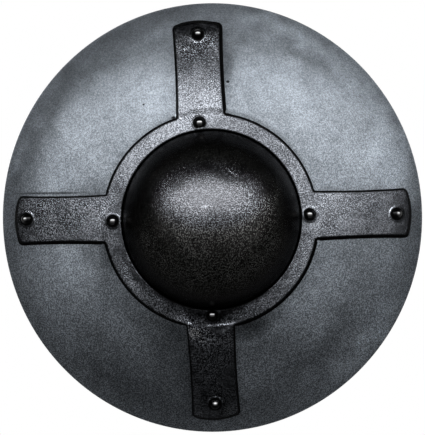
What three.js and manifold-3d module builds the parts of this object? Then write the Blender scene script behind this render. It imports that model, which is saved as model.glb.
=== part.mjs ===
// A round steel buckler: a domed dish, a fist boss, a cross-shaped reinforcing plate, eight rivets
// peened over roves, and a wooden handle on a steel bar across the boss opening.
// Lengths are millimetres. The buckler stands upright and faces -Y: x runs to its right as seen from
// the front, y to its back and z up, with the origin in the middle of the handle.
// A height is a distance forwards of the plane that the rim ends in.

import * as THREE from 'three';
import { mergeVertices } from 'three/addons/utils/BufferGeometryUtils.js';
import Module from 'manifold-3d';

const wasm = await Module();
wasm.setup();

const degrees = Math.PI / 180;

// Whole buckler
const rimWidth = 356;
const rimHeight = 364;
const seatGap = 0.3;
const overrun = 5;
const weldDistance = 0.0001;

// Dish
const dishSheet = 1.6;
const shoulderRadius = 45;
const shoulderSlope = 20 * degrees;
const domeSlope = 28 * degrees;
const rollRadius = 74;
const rimSlope = 60 * degrees;
const seatMargin = 0.3;

// Boss, a little left of the dish's centre and below it
const bossRadius = 75.6;
const bossHeight = 58;
const bossSheet = 1.6;
const bossFillet = 1.8;
const bossGroove = 2.3;
const flangeWidth = 12.1;
const bossLeft = 1.8;
const bossDown = 2.5;

// Cross plate
const plateSheet = 1.6;
const ringWidth = 12.5;
const armWidth = 39.4;
const armWaist = 37.8;
const tipBorderWidth = 11.5;
const armFillet = 3.2;
const tipArcRadius = 52;
const tipCornerRadius = 2.4;

// Rivets and roves
const headRadius = 4.8;
const headHeight = 3.1;
const shankRadius = 2;
const tailRadius = 3.4;
const tailHeight = 1.7;
const roveRadius = 5.6;
const roveThickness = 1.2;
const holeClearance = 0.3;
const ringRivetInset = 5.2;
const tipRivetInset = 10;

// Handle
const barThickness = 3;
const barEndRadius = 9.5;
const tangWidth = 18;
const tangShoulder = 16;
const gripLength = 108;
const gripWidth = 28;
const scaleThickness = 9.6;
const pinRadius = 2.2;
const pinDome = 0.8;
const pinProud = 0.4;
const pinSpacing = 36;

// The four arms as the maker set them: each has its own angle about the boss, drifts sideways by a
// share of its width and ends its own share of the common border width inside the rim. Its rivets
// follow suit.
const arms = [
  { name: 'top', angle: 92.7 * degrees, driftShare: 0.1, borderShare: 1.404,
    ringRivetShare: 1.005, ringRivetSideShare: 0.03, tipRivetShare: 0.94, tipRivetSideShare: -0.018 },
  { name: 'left', angle: 180.8 * degrees, driftShare: -0.065, borderShare: 1.023,
    ringRivetShare: 0.995, ringRivetSideShare: 0.041, tipRivetShare: 0.83, tipRivetSideShare: -0.014 },
  { name: 'bottom', angle: 273.6 * degrees, driftShare: -0.137, borderShare: 1.002,
    ringRivetShare: 0.983, ringRivetSideShare: 0.041, tipRivetShare: 1.16, tipRivetSideShare: -0.009 },
  { name: 'right', angle: 1.8 * degrees, driftShare: 0.044, borderShare: 0.909,
    ringRivetShare: 1.018, ringRivetSideShare: 0.015, tipRivetShare: 1.08, tipRivetSideShare: -0.034 },
];

// Fineness of the round forms
const dishSegments = 84;
const bossSegments = 52;
const holeSegments = 14;
const rivetSegments = 12;
const pinSegments = 10;
const outlineSteps = 6;

// Sizes that follow from the ones above
const rimRadius = (rimWidth + rimHeight) / 4;
const ovalX = rimWidth / 2 / rimRadius;
const ovalZ = rimHeight / 2 / rimRadius;
const openingRadius = bossRadius + bossGroove;
const ringRadius = openingRadius + ringWidth;
const flangeRadius = openingRadius + flangeWidth;
const bossOffset = Math.hypot(bossLeft, bossDown);
const seatRadius = (ringRadius + bossOffset + seatMargin) / Math.min(ovalX, ovalZ);
const plateBase = seatGap;
const plateFace = plateBase + plateSheet;

// The dish's front face in profile, as arcs that run outwards from its flat seat and follow on from
// each other: a rounded shoulder, a long dome, and the roll down to the rim. Slopes are measured
// from the rim plane. The last stretch is straight, so that the edge can be cut flat.
const edgeRun = dishSheet * Math.cos(rimSlope) ** 2 / Math.sin(rimSlope);
const edgeDrop = dishSheet * Math.cos(rimSlope);
const domeStart = seatRadius + shoulderRadius * Math.sin(shoulderSlope);
const domeEnd = rimRadius - edgeRun - rollRadius * (Math.sin(rimSlope) - Math.sin(domeSlope));
const domeRadius = (domeEnd - domeStart) / (Math.sin(domeSlope) - Math.sin(shoulderSlope));
const dishArcs = [
  { radius: shoulderRadius, from: 0, to: shoulderSlope, steps: 2 },
  { radius: domeRadius, from: shoulderSlope, to: domeSlope, steps: 2 },
  { radius: rollRadius, from: domeSlope, to: rimSlope, steps: 5 },
];
const arcRun = (arc, slope) => arc.radius * (Math.sin(slope) - Math.sin(arc.from));
const arcDrop = (arc, slope) => arc.radius * (Math.cos(arc.from) - Math.cos(slope));
const dishDepth = dishArcs.reduce((depth, arc) => depth + arcDrop(arc, arc.to), edgeDrop);
let reached = { rho: seatRadius, height: dishDepth };
for (const arc of dishArcs) {
  arc.rho = reached.rho;
  arc.height = reached.height;
  reached = { rho: arc.rho + arcRun(arc, arc.to), height: arc.height - arcDrop(arc, arc.to) };
}

// Heights of the layers behind the dish
const flangeFace = dishDepth - dishSheet - seatGap;
const flangeBack = flangeFace - bossSheet;
const barFace = flangeBack - seatGap;
const barMiddle = barFace - barThickness / 2;

// The boss's dome is part of a ball that rises from the dish's face
const ballRadius = (bossRadius ** 2 + bossHeight ** 2) / (2 * bossHeight);
const ballHeight = dishDepth + bossHeight - ballRadius;

// Solids from geometries and back

function solidFrom(geometry) {
  const bare = geometry.clone();
  bare.deleteAttribute('normal');
  bare.deleteAttribute('uv');
  const welded = mergeVertices(bare, weldDistance);
  const index = welded.index.array;
  const triVerts = [];
  for (let i = 0; i < index.length; i += 3) {
    const [a, b, c] = index.slice(i, i + 3);
    if (a !== b && b !== c && c !== a) triVerts.push(a, b, c);
  }
  return new wasm.Manifold(new wasm.Mesh({
    numProp: 3,
    vertProperties: new Float32Array(welded.attributes.position.array),
    triVerts: new Uint32Array(triVerts),
  }));
}

function geometryFrom(solid) {
  const mesh = solid.getMesh();
  const geometry = new THREE.BufferGeometry();
  geometry.setAttribute('position', new THREE.BufferAttribute(mesh.vertProperties, 3));
  geometry.setIndex(new THREE.BufferAttribute(mesh.triVerts, 1));
  geometry.computeVertexNormals();
  return geometry;
}

// A body turned about the y axis, from [radius, height] pairs, then laid so that height runs forwards
function turned(profile, segments) {
  const points = profile.map(([radius, height]) => new THREE.Vector2(radius, height));
  return new THREE.LatheGeometry(points, segments).rotateX(Math.PI);
}

// A flat outline in x and z, made into a block between two heights
function block(outline, back, front) {
  const settings = { depth: front - back, bevelEnabled: false, curveSegments: outlineSteps };
  return new THREE.ExtrudeGeometry(outline, settings).rotateX(Math.PI / 2).translate(0, -back, 0);
}

// A round cutting tool between two heights
function drill(radius, back, front, segments) {
  const rod = new THREE.CylinderGeometry(radius, radius, front - back, segments);
  return rod.translate(0, -(front + back) / 2, 0);
}

function arcPoints(steps, pointAt) {
  return Array.from({ length: steps + 1 }, (_, i) => pointAt(i / steps));
}

// Dish and the places on it

// Points of a face parallel to the dish's front face, from well inside the opening outwards
function dishFace(offset) {
  const points = [[openingRadius / 2, dishDepth + offset], [seatRadius, dishDepth + offset]];
  for (const arc of dishArcs) {
    for (let i = 1; i <= arc.steps; i += 1) {
      const slope = arc.from + (arc.to - arc.from) * i / arc.steps;
      points.push([
        arc.rho + arcRun(arc, slope) + offset * Math.sin(slope),
        arc.height - arcDrop(arc, slope) + offset * Math.cos(slope),
      ]);
    }
  }
  return points;
}

// A turned body about the dish's own centre, drawn out to the dish's oval
function dishTurned(profile) {
  return turned(profile, dishSegments).scale(ovalX, 1, ovalZ).translate(bossLeft, 0, bossDown);
}

// Height and slope of the front face at a distance from the dish's centre
function faceAt(rho) {
  const arc = dishArcs.findLast((each) => rho > each.rho);
  if (!arc) return { height: dishDepth, slope: 0 };
  const slope = Math.asin(Math.sin(arc.from) + (rho - arc.rho) / arc.radius);
  return { height: arc.height - arcDrop(arc, slope), slope };
}

// The place on the front face over x and z, as a matrix whose y axis points out of the face
function placeOnFace(x, z) {
  const across = (x - bossLeft) / ovalX;
  const up = (z - bossDown) / ovalZ;
  const rho = Math.hypot(across, up);
  const { height, slope } = faceAt(rho);
  const lean = Math.tan(slope) / rho;
  const normal = new THREE.Vector3(lean * across / ovalX, -1, lean * up / ovalZ).normalize();
  const turn = new THREE.Quaternion().setFromUnitVectors(new THREE.Vector3(0, 1, 0), normal);
  return new THREE.Matrix4().compose(new THREE.Vector3(x, -height, z), turn, new THREE.Vector3(1, 1, 1));
}

// How far the dish's rim is from the middle of the boss, in a given direction
function rimReach(angle) {
  const across = Math.cos(angle) / (rimWidth / 2);
  const up = Math.sin(angle) / (rimHeight / 2);
  const bossAcross = bossLeft / (rimWidth / 2);
  const bossUp = bossDown / (rimHeight / 2);
  const square = across ** 2 + up ** 2;
  const half = across * bossAcross + up * bossUp;
  const rest = bossAcross ** 2 + bossUp ** 2 - 1;
  return (half + Math.sqrt(half ** 2 - square * rest)) / square;
}

for (const arm of arms) {
  arm.reach = rimReach(arm.angle) - arm.borderShare * tipBorderWidth;
}

// Where the rivets go, and what each one passes through behind the dish's front face
function alongArm(arm, along, side) {
  const across = arm.driftShare * armWidth + side;
  return {
    x: along * Math.cos(arm.angle) - across * Math.sin(arm.angle),
    z: along * Math.sin(arm.angle) + across * Math.cos(arm.angle),
  };
}

const ringRivetRadius = openingRadius + ringRivetInset;
const washerSag = roveRadius ** 2 / (2 * (rollRadius - dishSheet));
const rivets = [];
for (const arm of arms) {
  const inner = alongArm(arm, arm.ringRivetShare * ringRivetRadius, arm.ringRivetSideShare * armWidth);
  const tipRivetRadius = arm.reach - arm.tipRivetShare * tipRivetInset;
  const outer = alongArm(arm, tipRivetRadius, arm.tipRivetSideShare * armWidth);
  const holdsBar = arm.name === 'left' || arm.name === 'right';
  const innerStack = dishDepth - (holdsBar ? barFace - barThickness : flangeBack);
  rivets.push({ name: `inner_${arm.name}`, ...inner, holdsBar, stack: innerStack, roveSeat: seatGap });
  rivets.push({ name: `outer_${arm.name}`, ...outer, holdsBar: false, stack: dishSheet,
    roveSeat: seatGap + washerSag });
}
for (const rivet of rivets) {
  rivet.place = placeOnFace(rivet.x, rivet.z);
  rivet.roveFace = -rivet.stack - rivet.roveSeat;
  rivet.tailFace = rivet.roveFace - roveThickness - seatGap;
}

function rivetHole(rivet) {
  const length = 2 * (rivet.stack + plateFace + overrun);
  const hole = new THREE.CylinderGeometry(
    shankRadius + holeClearance, shankRadius + holeClearance, length, holeSegments);
  return solidFrom(hole.applyMatrix4(rivet.place));
}

function drilled(solid, holes) {
  return holes.reduce((body, rivet) => body.subtract(rivetHole(rivet)), solid);
}

const steel = (color, roughness, metalness) => (
  new THREE.MeshStandardMaterial({ color, roughness, metalness })
);

const buckler = new THREE.Group();

function addPiece(parent, name, geometry, material) {
  const mesh = new THREE.Mesh(geometry, material);
  mesh.name = name;
  parent.add(mesh);
  return mesh;
}

// Dish: one sheet, with the opening for the boss and eight rivet holes
function makeDish() {
  const front = [...dishFace(0), [rimRadius, 0]].reverse();
  const back = dishFace(-dishSheet);
  const sheet = solidFrom(dishTurned([...front, ...back, front[0]]));
  const opening = solidFrom(drill(openingRadius, 0, dishDepth + overrun, dishSegments));
  return drilled(sheet.subtract(opening), rivets);
}

// Boss: a raised dome, a tight fillet at its foot and a flat flange behind the dish
function bossFace(offset, towardsApex) {
  const filletRadius = bossFillet - offset;
  const domeRadiusHere = ballRadius + offset;
  const filletHeight = flangeFace + bossFillet;
  const filletRho = Math.sqrt((ballRadius + bossFillet) ** 2 - (filletHeight - ballHeight) ** 2);
  const wallAngle = Math.asin(filletRho / (ballRadius + bossFillet));
  const fillet = arcPoints(3, (t) => [
    filletRho - filletRadius * Math.sin(wallAngle * t),
    filletHeight - filletRadius * Math.cos(wallAngle * t),
  ]);
  const dome = arcPoints(7, (t) => [
    domeRadiusHere * Math.sin(wallAngle * (1 - t)),
    ballHeight + domeRadiusHere * Math.cos(wallAngle * (1 - t)),
  ]);
  const points = [...fillet, ...dome.slice(1)];
  return towardsApex ? points : points.reverse();
}

function makeBoss() {
  const profile = [
    ...bossFace(-bossSheet, false),
    [flangeRadius, flangeBack],
    [flangeRadius, flangeFace],
    ...bossFace(0, true),
  ];
  const holes = rivets.filter((rivet) => rivet.name.startsWith('inner'));
  return drilled(solidFrom(turned(profile, bossSegments)), holes);
}

// Cross plate: the ring and the four arms are cut as one outline from a sheet that follows the dish
function armOutline(arm) {
  const half = armWidth / 2;
  const rootAlong = Math.sqrt(ringRadius ** 2 - half ** 2);
  const flareAlong = Math.sqrt(ringRadius ** 2 - (half + armFillet) ** 2);
  const tipCentre = arm.reach - tipArcRadius;
  const tipAngle = Math.asin(half / tipArcRadius);
  const softAngle = tipAngle - tipCornerRadius / tipArcRadius;
  const tipAlong = tipCentre + tipArcRadius * Math.cos(tipAngle);
  const softAlong = tipCentre + tipArcRadius * Math.cos(softAngle);
  const softSide = tipArcRadius * Math.sin(softAngle);
  const waistPull = armWaist - half;
  const middleAlong = (rootAlong + armFillet + tipAlong - tipCornerRadius) / 2;
  const outline = new THREE.Shape();
  outline.moveTo(openingRadius, -half - armFillet);
  outline.lineTo(flareAlong, -half - armFillet);
  outline.quadraticCurveTo(rootAlong, -half, rootAlong + armFillet, -half);
  outline.quadraticCurveTo(middleAlong, -waistPull, tipAlong - tipCornerRadius, -half);
  outline.quadraticCurveTo(tipAlong, -half, softAlong, -softSide);
  outline.absarc(tipCentre, 0, tipArcRadius, -softAngle, softAngle, false);
  outline.quadraticCurveTo(tipAlong, half, tipAlong - tipCornerRadius, half);
  outline.quadraticCurveTo(middleAlong, waistPull, rootAlong + armFillet, half);
  outline.quadraticCurveTo(rootAlong, half, flareAlong, half + armFillet);
  outline.lineTo(openingRadius, half + armFillet);
  outline.closePath();
  return outline;
}

function makeCrossPlate() {
  const top = dishDepth + plateFace + overrun;
  const front = dishFace(plateFace).reverse();
  const back = dishFace(plateBase);
  const sheet = solidFrom(dishTurned([...front, ...back, front[0]]));
  const opening = solidFrom(drill(openingRadius, -overrun, top + overrun, dishSegments));
  let cutter = solidFrom(drill(ringRadius, 0, top, dishSegments));
  for (const arm of arms) {
    const cut = block(armOutline(arm), 0, top);
    cut.translate(0, 0, arm.driftShare * armWidth).rotateY(-arm.angle);
    cutter = cutter.add(solidFrom(cut));
  }
  return drilled(sheet.intersect(cutter.subtract(opening)), rivets);
}

const dishFinish = steel(0x7d868c, 0.5, 0.9);
const bossFinish = steel(0x141416, 0.4, 0.5);
const plateFinish = steel(0x4a4d50, 0.45, 0.8);
const rivetFinish = steel(0x101011, 0.2, 0.6);
addPiece(buckler, 'dish', geometryFrom(makeDish()), dishFinish);
addPiece(buckler, 'boss', geometryFrom(makeBoss()), bossFinish);
addPiece(buckler, 'cross_plate', geometryFrom(makeCrossPlate()), plateFinish);

// Rivets and roves: each stands square to the face it holds. The rivet's y axis runs out to its head.
function makeRivet(rivet) {
  const headFace = plateFace + seatGap;
  const tail = arcPoints(3, (t) => [
    tailRadius * Math.sin(t * Math.PI / 2),
    rivet.tailFace - tailHeight * Math.cos(t * Math.PI / 2),
  ]);
  const head = arcPoints(4, (t) => [
    headRadius * Math.cos(t * Math.PI / 2),
    headFace + headHeight * Math.sin(t * Math.PI / 2),
  ]);
  const profile = [...tail, [shankRadius, rivet.tailFace], [shankRadius, headFace], ...head];
  const points = profile.map(([radius, height]) => new THREE.Vector2(radius, height));
  return geometryFrom(solidFrom(new THREE.LatheGeometry(points, rivetSegments)));
}

function makeRove(rivet) {
  const bore = shankRadius + holeClearance;
  const back = rivet.roveFace - roveThickness;
  const points = [
    new THREE.Vector2(roveRadius, back),
    new THREE.Vector2(roveRadius, rivet.roveFace),
    new THREE.Vector2(bore, rivet.roveFace),
    new THREE.Vector2(bore, back),
    new THREE.Vector2(roveRadius, back),
  ];
  return geometryFrom(solidFrom(new THREE.LatheGeometry(points, holeSegments)));
}

for (const rivet of rivets) {
  const seat = new THREE.Group();
  seat.applyMatrix4(rivet.place);
  addPiece(seat, `rivet_${rivet.name}`, makeRivet(rivet), rivetFinish);
  addPiece(seat, `rove_${rivet.name}`, makeRove(rivet), steel(0x55585a, 0.5, 0.9));
  buckler.add(seat);
}

// Handle: laid along the line between the two rivets that hold its bar. In its own frame x runs along
// the bar and heights are measured from the middle of the bar's thickness.
const [barLeft, barRight] = ['inner_left', 'inner_right'].map((name) => (
  rivets.find((rivet) => rivet.name === name)
));
const gripTurn = Math.atan2(barRight.z - barLeft.z, barRight.x - barLeft.x);
const halfSpan = Math.hypot(barRight.x - barLeft.x, barRight.z - barLeft.z) / 2;
const gripX = (barLeft.x + barRight.x) / 2;
const gripZ = (barLeft.z + barRight.z) / 2;
const pinPlaces = { left: -pinSpacing, middle: 0, right: pinSpacing };

function crossDrills(places, radius, depth) {
  return places.map((x) => solidFrom(drill(radius, -depth, depth, holeSegments).translate(x, 0, 0)));
}

function makeGripBar() {
  const half = tangWidth / 2;
  const tangEnd = gripLength / 2 + tangShoulder / 2;
  const blend = (halfSpan - tangEnd) / 2;
  const outline = new THREE.Shape();
  outline.moveTo(-tangEnd, -half);
  outline.lineTo(tangEnd, -half);
  outline.bezierCurveTo(tangEnd + blend, -half, halfSpan - blend, -barEndRadius, halfSpan, -barEndRadius);
  outline.absarc(halfSpan, 0, barEndRadius, -Math.PI / 2, Math.PI / 2, false);
  outline.bezierCurveTo(halfSpan - blend, barEndRadius, tangEnd + blend, half, tangEnd, half);
  outline.lineTo(-tangEnd, half);
  outline.bezierCurveTo(-tangEnd - blend, half, blend - halfSpan, barEndRadius, -halfSpan, barEndRadius);
  outline.absarc(-halfSpan, 0, barEndRadius, Math.PI / 2, 1.5 * Math.PI, false);
  outline.bezierCurveTo(blend - halfSpan, -barEndRadius, -tangEnd - blend, -half, -tangEnd, -half);
  const bar = solidFrom(block(outline, -barThickness / 2, barThickness / 2));
  const depth = barThickness + overrun;
  const holes = [
    ...crossDrills([-halfSpan, halfSpan], shankRadius + holeClearance, depth),
    ...crossDrills(Object.values(pinPlaces), pinRadius + holeClearance, depth),
  ];
  return holes.reduce((body, hole) => body.subtract(hole), bar);
}

// How full the wooden scales are at a share of the way from their middle to an end, with a palm
// swell in the middle and rounded ends
const swellShare = 0.2;
const endRoundShare = 0.985;
function fullness(share) {
  const swell = 1 - swellShare * share ** 2;
  return swell * Math.sqrt(1 - (endRoundShare * Math.abs(share)) ** 12);
}

function makeGripScale() {
  const stations = 12;
  const sides = 10;
  const base = barThickness / 2 + seatGap;
  const positions = [];
  for (let i = 0; i <= stations; i += 1) {
    const share = -Math.cos(Math.PI * i / stations);
    const full = fullness(share);
    for (let j = 0; j <= sides; j += 1) {
      const angle = Math.PI * j / sides;
      const height = base + scaleThickness * full * Math.sin(angle) ** 0.8;
      positions.push(share * gripLength / 2, -height, gripWidth / 2 * full * Math.cos(angle));
    }
  }
  const ring = sides + 1;
  const triangles = [];
  for (let i = 0; i < stations; i += 1) {
    for (let j = 0; j < ring; j += 1) {
      const here = i * ring + j;
      const next = i * ring + (j + 1) % ring;
      triangles.push(here, next, here + ring, next, next + ring, here + ring);
    }
  }
  const lastRing = stations * ring;
  for (let j = 1; j < sides; j += 1) {
    triangles.push(0, j + 1, j);
    triangles.push(lastRing, lastRing + j, lastRing + j + 1);
  }
  const loft = new THREE.BufferGeometry();
  loft.setAttribute('position', new THREE.Float32BufferAttribute(positions, 3));
  loft.setIndex(triangles);
  const holes = crossDrills(
    Object.values(pinPlaces), pinRadius + holeClearance, base + scaleThickness + overrun);
  return holes.reduce((body, hole) => body.subtract(hole), solidFrom(loft));
}

function makeGripPin(x) {
  const end = barThickness / 2 + seatGap + scaleThickness * fullness(2 * x / gripLength) + pinProud;
  const profile = [
    [0, -end], [pinRadius / 2, -end + pinDome / 4], [pinRadius, -end + pinDome],
    [pinRadius, end - pinDome], [pinRadius / 2, end - pinDome / 4], [0, end],
  ];
  return geometryFrom(solidFrom(turned(profile, pinSegments)));
}

const grip = new THREE.Group();
grip.position.set(gripX, -barMiddle, gripZ);
grip.rotation.y = -gripTurn;
const wood = new THREE.MeshStandardMaterial({ color: 0x4a2f1c, roughness: 0.6, metalness: 0 });
addPiece(grip, 'grip_bar', geometryFrom(makeGripBar()), steel(0x3d3f41, 0.5, 0.9));
const scaleGeometry = geometryFrom(makeGripScale());
addPiece(grip, 'grip_scale_front', scaleGeometry, wood);
addPiece(grip, 'grip_scale_back', scaleGeometry.clone(), wood).rotation.x = Math.PI;
for (const [name, x] of Object.entries(pinPlaces)) {
  addPiece(grip, `grip_pin_${name}`, makeGripPin(x), steel(0x9a9da0, 0.4, 1)).position.x = x;
}
buckler.add(grip);

// The origin is the middle of the handle
buckler.position.set(-gripX, barMiddle, -gripZ);

const group = new THREE.Group();
group.add(buckler);

export default group;
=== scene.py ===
import math

import bmesh
import bpy
import numpy as np
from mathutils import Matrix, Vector, noise
from mathutils.bvhtree import BVHTree
from mathutils.geometry import delaunay_2d_cdt


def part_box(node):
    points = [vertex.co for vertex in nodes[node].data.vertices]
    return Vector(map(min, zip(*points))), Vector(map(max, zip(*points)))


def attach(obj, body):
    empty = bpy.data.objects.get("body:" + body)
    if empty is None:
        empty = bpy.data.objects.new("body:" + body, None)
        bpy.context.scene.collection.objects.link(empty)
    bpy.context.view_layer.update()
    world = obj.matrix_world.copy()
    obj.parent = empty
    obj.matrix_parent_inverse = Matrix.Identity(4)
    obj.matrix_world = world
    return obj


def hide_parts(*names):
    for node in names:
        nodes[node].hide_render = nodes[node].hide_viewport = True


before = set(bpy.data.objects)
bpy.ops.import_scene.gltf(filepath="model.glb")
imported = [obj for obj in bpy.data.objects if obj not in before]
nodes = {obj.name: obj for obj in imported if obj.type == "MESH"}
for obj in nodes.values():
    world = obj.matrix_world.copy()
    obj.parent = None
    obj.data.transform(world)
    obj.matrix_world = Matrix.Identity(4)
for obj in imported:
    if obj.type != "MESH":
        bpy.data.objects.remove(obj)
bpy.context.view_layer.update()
mm = 0.001
degree = math.pi / 180

# Where the solids put the two round forms, seen from the front
dishLow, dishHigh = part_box("dish")
bossLow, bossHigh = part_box("boss")
dishX = (dishLow.x + dishHigh.x) / 2
dishZ = (dishLow.z + dishHigh.z) / 2
bossX = (bossLow.x + bossHigh.x) / 2
bossZ = (bossLow.z + bossHigh.z) / 2
fistX = bossX + 0.9 * mm  # the boss and the openings round it stand a little off the ring's middle
fistZ = bossZ + 0.85 * mm
rimPlane = dishHigh.y
seatFace = dishLow.y
rimRadius = (dishHigh.x - dishLow.x + dishHigh.z - dishLow.z) / 4
ovalX = (dishHigh.x - dishLow.x) / 2 / rimRadius
ovalZ = (dishHigh.z - dishLow.z) / 2 / rimRadius


# Camera, straight in front of the middle of the dish
camera = {
    "distance": 3.0,
    "seenHeight": 0.3692,  # what the picture shows from top to bottom, at the rim
    "filmSize": 36,
}


def setCamera():
    data = bpy.data.cameras.new("camera")
    eye = bpy.data.objects.new("camera", data)
    bpy.context.scene.collection.objects.link(eye)
    eye.location = (dishX, -camera["distance"], dishZ)
    eye.rotation_euler = (math.pi / 2, 0, 0)
    data.sensor_width = camera["filmSize"]
    data.lens = camera["filmSize"] * (camera["distance"] + rimPlane) / camera["seenHeight"]
    bpy.context.scene.camera = eye
    bpy.context.scene.view_settings.view_transform = "Standard"


setCamera()
print("camera set")


# Small helpers for node trees
def addNode(tree, kind, **settings):
    node = tree.nodes.new(kind)
    for name, value in settings.items():
        setattr(node, name, value)
    return node


def feed(tree, socket, value):
    if isinstance(value, bpy.types.NodeSocket):
        tree.links.new(value, socket)
    else:
        socket.default_value = value


def mathNode(tree, operation, *values, clamp=False):
    node = addNode(tree, "ShaderNodeMath", operation=operation, use_clamp=clamp)
    for socket, value in zip(node.inputs, values):
        feed(tree, socket, value)
    return node.outputs[0]


def vectorNode(tree, operation, first, second, output):
    node = addNode(tree, "ShaderNodeVectorMath", operation=operation)
    feed(tree, node.inputs[0], first)
    feed(tree, node.inputs[1], second)
    return node.outputs[output]


def ramp(tree, value, fromLow, fromHigh, toLow=0.0, toHigh=1.0, smooth=True):
    node = addNode(tree, "ShaderNodeMapRange")
    node.interpolation_type = "SMOOTHSTEP" if smooth else "LINEAR"
    for socket, each in zip(node.inputs, (value, fromLow, fromHigh, toLow, toHigh)):
        feed(tree, socket, each)
    return node.outputs[0]


def evenRamp(tree, mask, first, last):
    # runs evenly from one value to another as a mask goes from 0 to 1
    return ramp(tree, mask, 0.0, 1.0, first, last, smooth=False)


def mixColour(tree, share, first, second, blend="MIX"):
    node = addNode(tree, "ShaderNodeMix", data_type="RGBA", blend_type=blend)
    feed(tree, node.inputs["Factor"], share)
    feed(tree, node.inputs[6], first)  # the node's two colours are its sockets 6 and 7
    feed(tree, node.inputs[7], second)
    return node.outputs[2]


def lightened(tree, colour, times):
    return mixColour(tree, 1.0, colour, times, blend="MULTIPLY")


def noiseNode(tree, place, perMetre, detail=2.0, roughness=0.5, distortion=0.0):
    node = addNode(tree, "ShaderNodeTexNoise")
    settings = {"Vector": place, "Scale": perMetre, "Detail": detail, "Roughness": roughness,
                "Distortion": distortion}
    for label, value in settings.items():
        feed(tree, node.inputs[label], value)
    return node.outputs["Fac"]


def stretched(tree, place, scale, turn=(0.0, 0.0, 0.0)):
    node = addNode(tree, "ShaderNodeMapping")
    feed(tree, node.inputs["Vector"], place)
    node.inputs["Scale"].default_value = scale
    node.inputs["Rotation"].default_value = turn
    return node.outputs[0]


def grey(level, alpha=1.0):
    return (level, level, level, alpha)


# Studio: a wide soft light in front and above, a dim room below it and a white backdrop behind
studio = {
    "level": 3.6,
    "lightLow": (10, 16),  # degrees above the horizon where the soft light fades in
    "lightHigh": (46, 54),  # and where it fades out
    "arch": 15.5,  # degrees by which its upper edge comes down, that far to either side:
    "archAside": 60,
    "archMost": 31.0,  # the most that it comes down
    "slant": 3.5,  # how much more than the arch it comes down on the left, and less on the right
    "lightLeft": (58, 70),  # degrees to the left where it ends
    "lightRight": (55, 72),  # and to the right
    "glow": 0.85,  # the dim room at the height of the horizon
    "glowFade": 14,  # degrees in which it fades downwards to about a third
    "lean": 0.06,  # how much more light comes from the right than from the left
    "room": 0.03,
    "backdrop": 0.9,
    "behind": (0.5, 0.75),  # how far back a direction leans where the backdrop sets in
}


def makeStudio():
    world = bpy.data.worlds.new("studio")
    bpy.context.scene.world = world
    world.use_nodes = True
    tree = world.node_tree
    tree.nodes.clear()
    direction = addNode(tree, "ShaderNodeTexCoord").outputs["Generated"]
    parts = addNode(tree, "ShaderNodeSeparateXYZ")
    feed(tree, parts.inputs[0], direction)
    x, y, z = parts.outputs
    height = mathNode(tree, "MULTIPLY", mathNode(tree, "ARCSINE", z), 1 / degree)
    forward = mathNode(tree, "MULTIPLY", y, -1.0)
    turn = mathNode(tree, "MULTIPLY", mathNode(tree, "ARCTAN2", x, forward), 1 / degree)
    leftTurn = mathNode(tree, "MULTIPLY", turn, -1.0)
    low = ramp(tree, height, *studio["lightLow"])
    aside = mathNode(tree, "MULTIPLY", turn, 1 / studio["archAside"])
    steep = mathNode(tree, "ADD", mathNode(tree, "MULTIPLY", aside, -studio["slant"]), studio["arch"])
    fall = mathNode(tree, "MULTIPLY", mathNode(tree, "MULTIPLY", aside, aside), steep)
    arched = mathNode(tree, "ADD", height, mathNode(tree, "MINIMUM", fall, studio["archMost"]))
    high = ramp(tree, arched, *studio["lightHigh"], 1.0, 0.0)
    wide = mathNode(tree, "MULTIPLY", ramp(tree, leftTurn, *studio["lightLeft"], 1.0, 0.0),
                    ramp(tree, turn, *studio["lightRight"], 1.0, 0.0))
    lean = mathNode(tree, "ADD", mathNode(tree, "MULTIPLY", x, studio["lean"]), 1.0)
    wide = mathNode(tree, "MULTIPLY", wide, lean)
    light = mathNode(tree, "MULTIPLY", mathNode(tree, "MULTIPLY", low, high), wide)
    light = mathNode(tree, "MULTIPLY", light, studio["level"])
    below = mathNode(tree, "MULTIPLY", mathNode(tree, "ABSOLUTE", height), -1 / studio["glowFade"])
    glow = mathNode(tree, "MULTIPLY", mathNode(tree, "EXPONENT", below), studio["glow"])
    glow = mathNode(tree, "MULTIPLY", glow, wide)
    front = mathNode(tree, "ADD", mathNode(tree, "ADD", light, glow), studio["room"])
    level = addNode(tree, "ShaderNodeMix")
    feed(tree, level.inputs["Factor"], ramp(tree, y, *studio["behind"]))
    feed(tree, level.inputs[2], front)
    feed(tree, level.inputs[3], studio["backdrop"])
    rays = addNode(tree, "ShaderNodeLightPath")
    seen = addNode(tree, "ShaderNodeMix")
    feed(tree, seen.inputs["Factor"], rays.outputs["Is Camera Ray"])
    feed(tree, seen.inputs[2], level.outputs[0])
    feed(tree, seen.inputs[3], 1.0)  # the camera sees plain white
    background = addNode(tree, "ShaderNodeBackground")
    background.inputs["Color"].default_value = grey(1.0)
    feed(tree, background.inputs["Strength"], seen.outputs[0])
    output = addNode(tree, "ShaderNodeOutputWorld")
    tree.links.new(background.outputs[0], output.inputs[0])


makeStudio()
print("studio lit")


# Floor, a little below the rim, plain and pale
floorPlan = {
    "drop": 0.25,
    "near": -0.15,
    "far": 2.5,
    "halfWidth": 2.0,
    "albedo": 0.8,
    "dimAlbedo": 0.15,  # what the metal sees of it
    "glow": 0.5,
}


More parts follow.
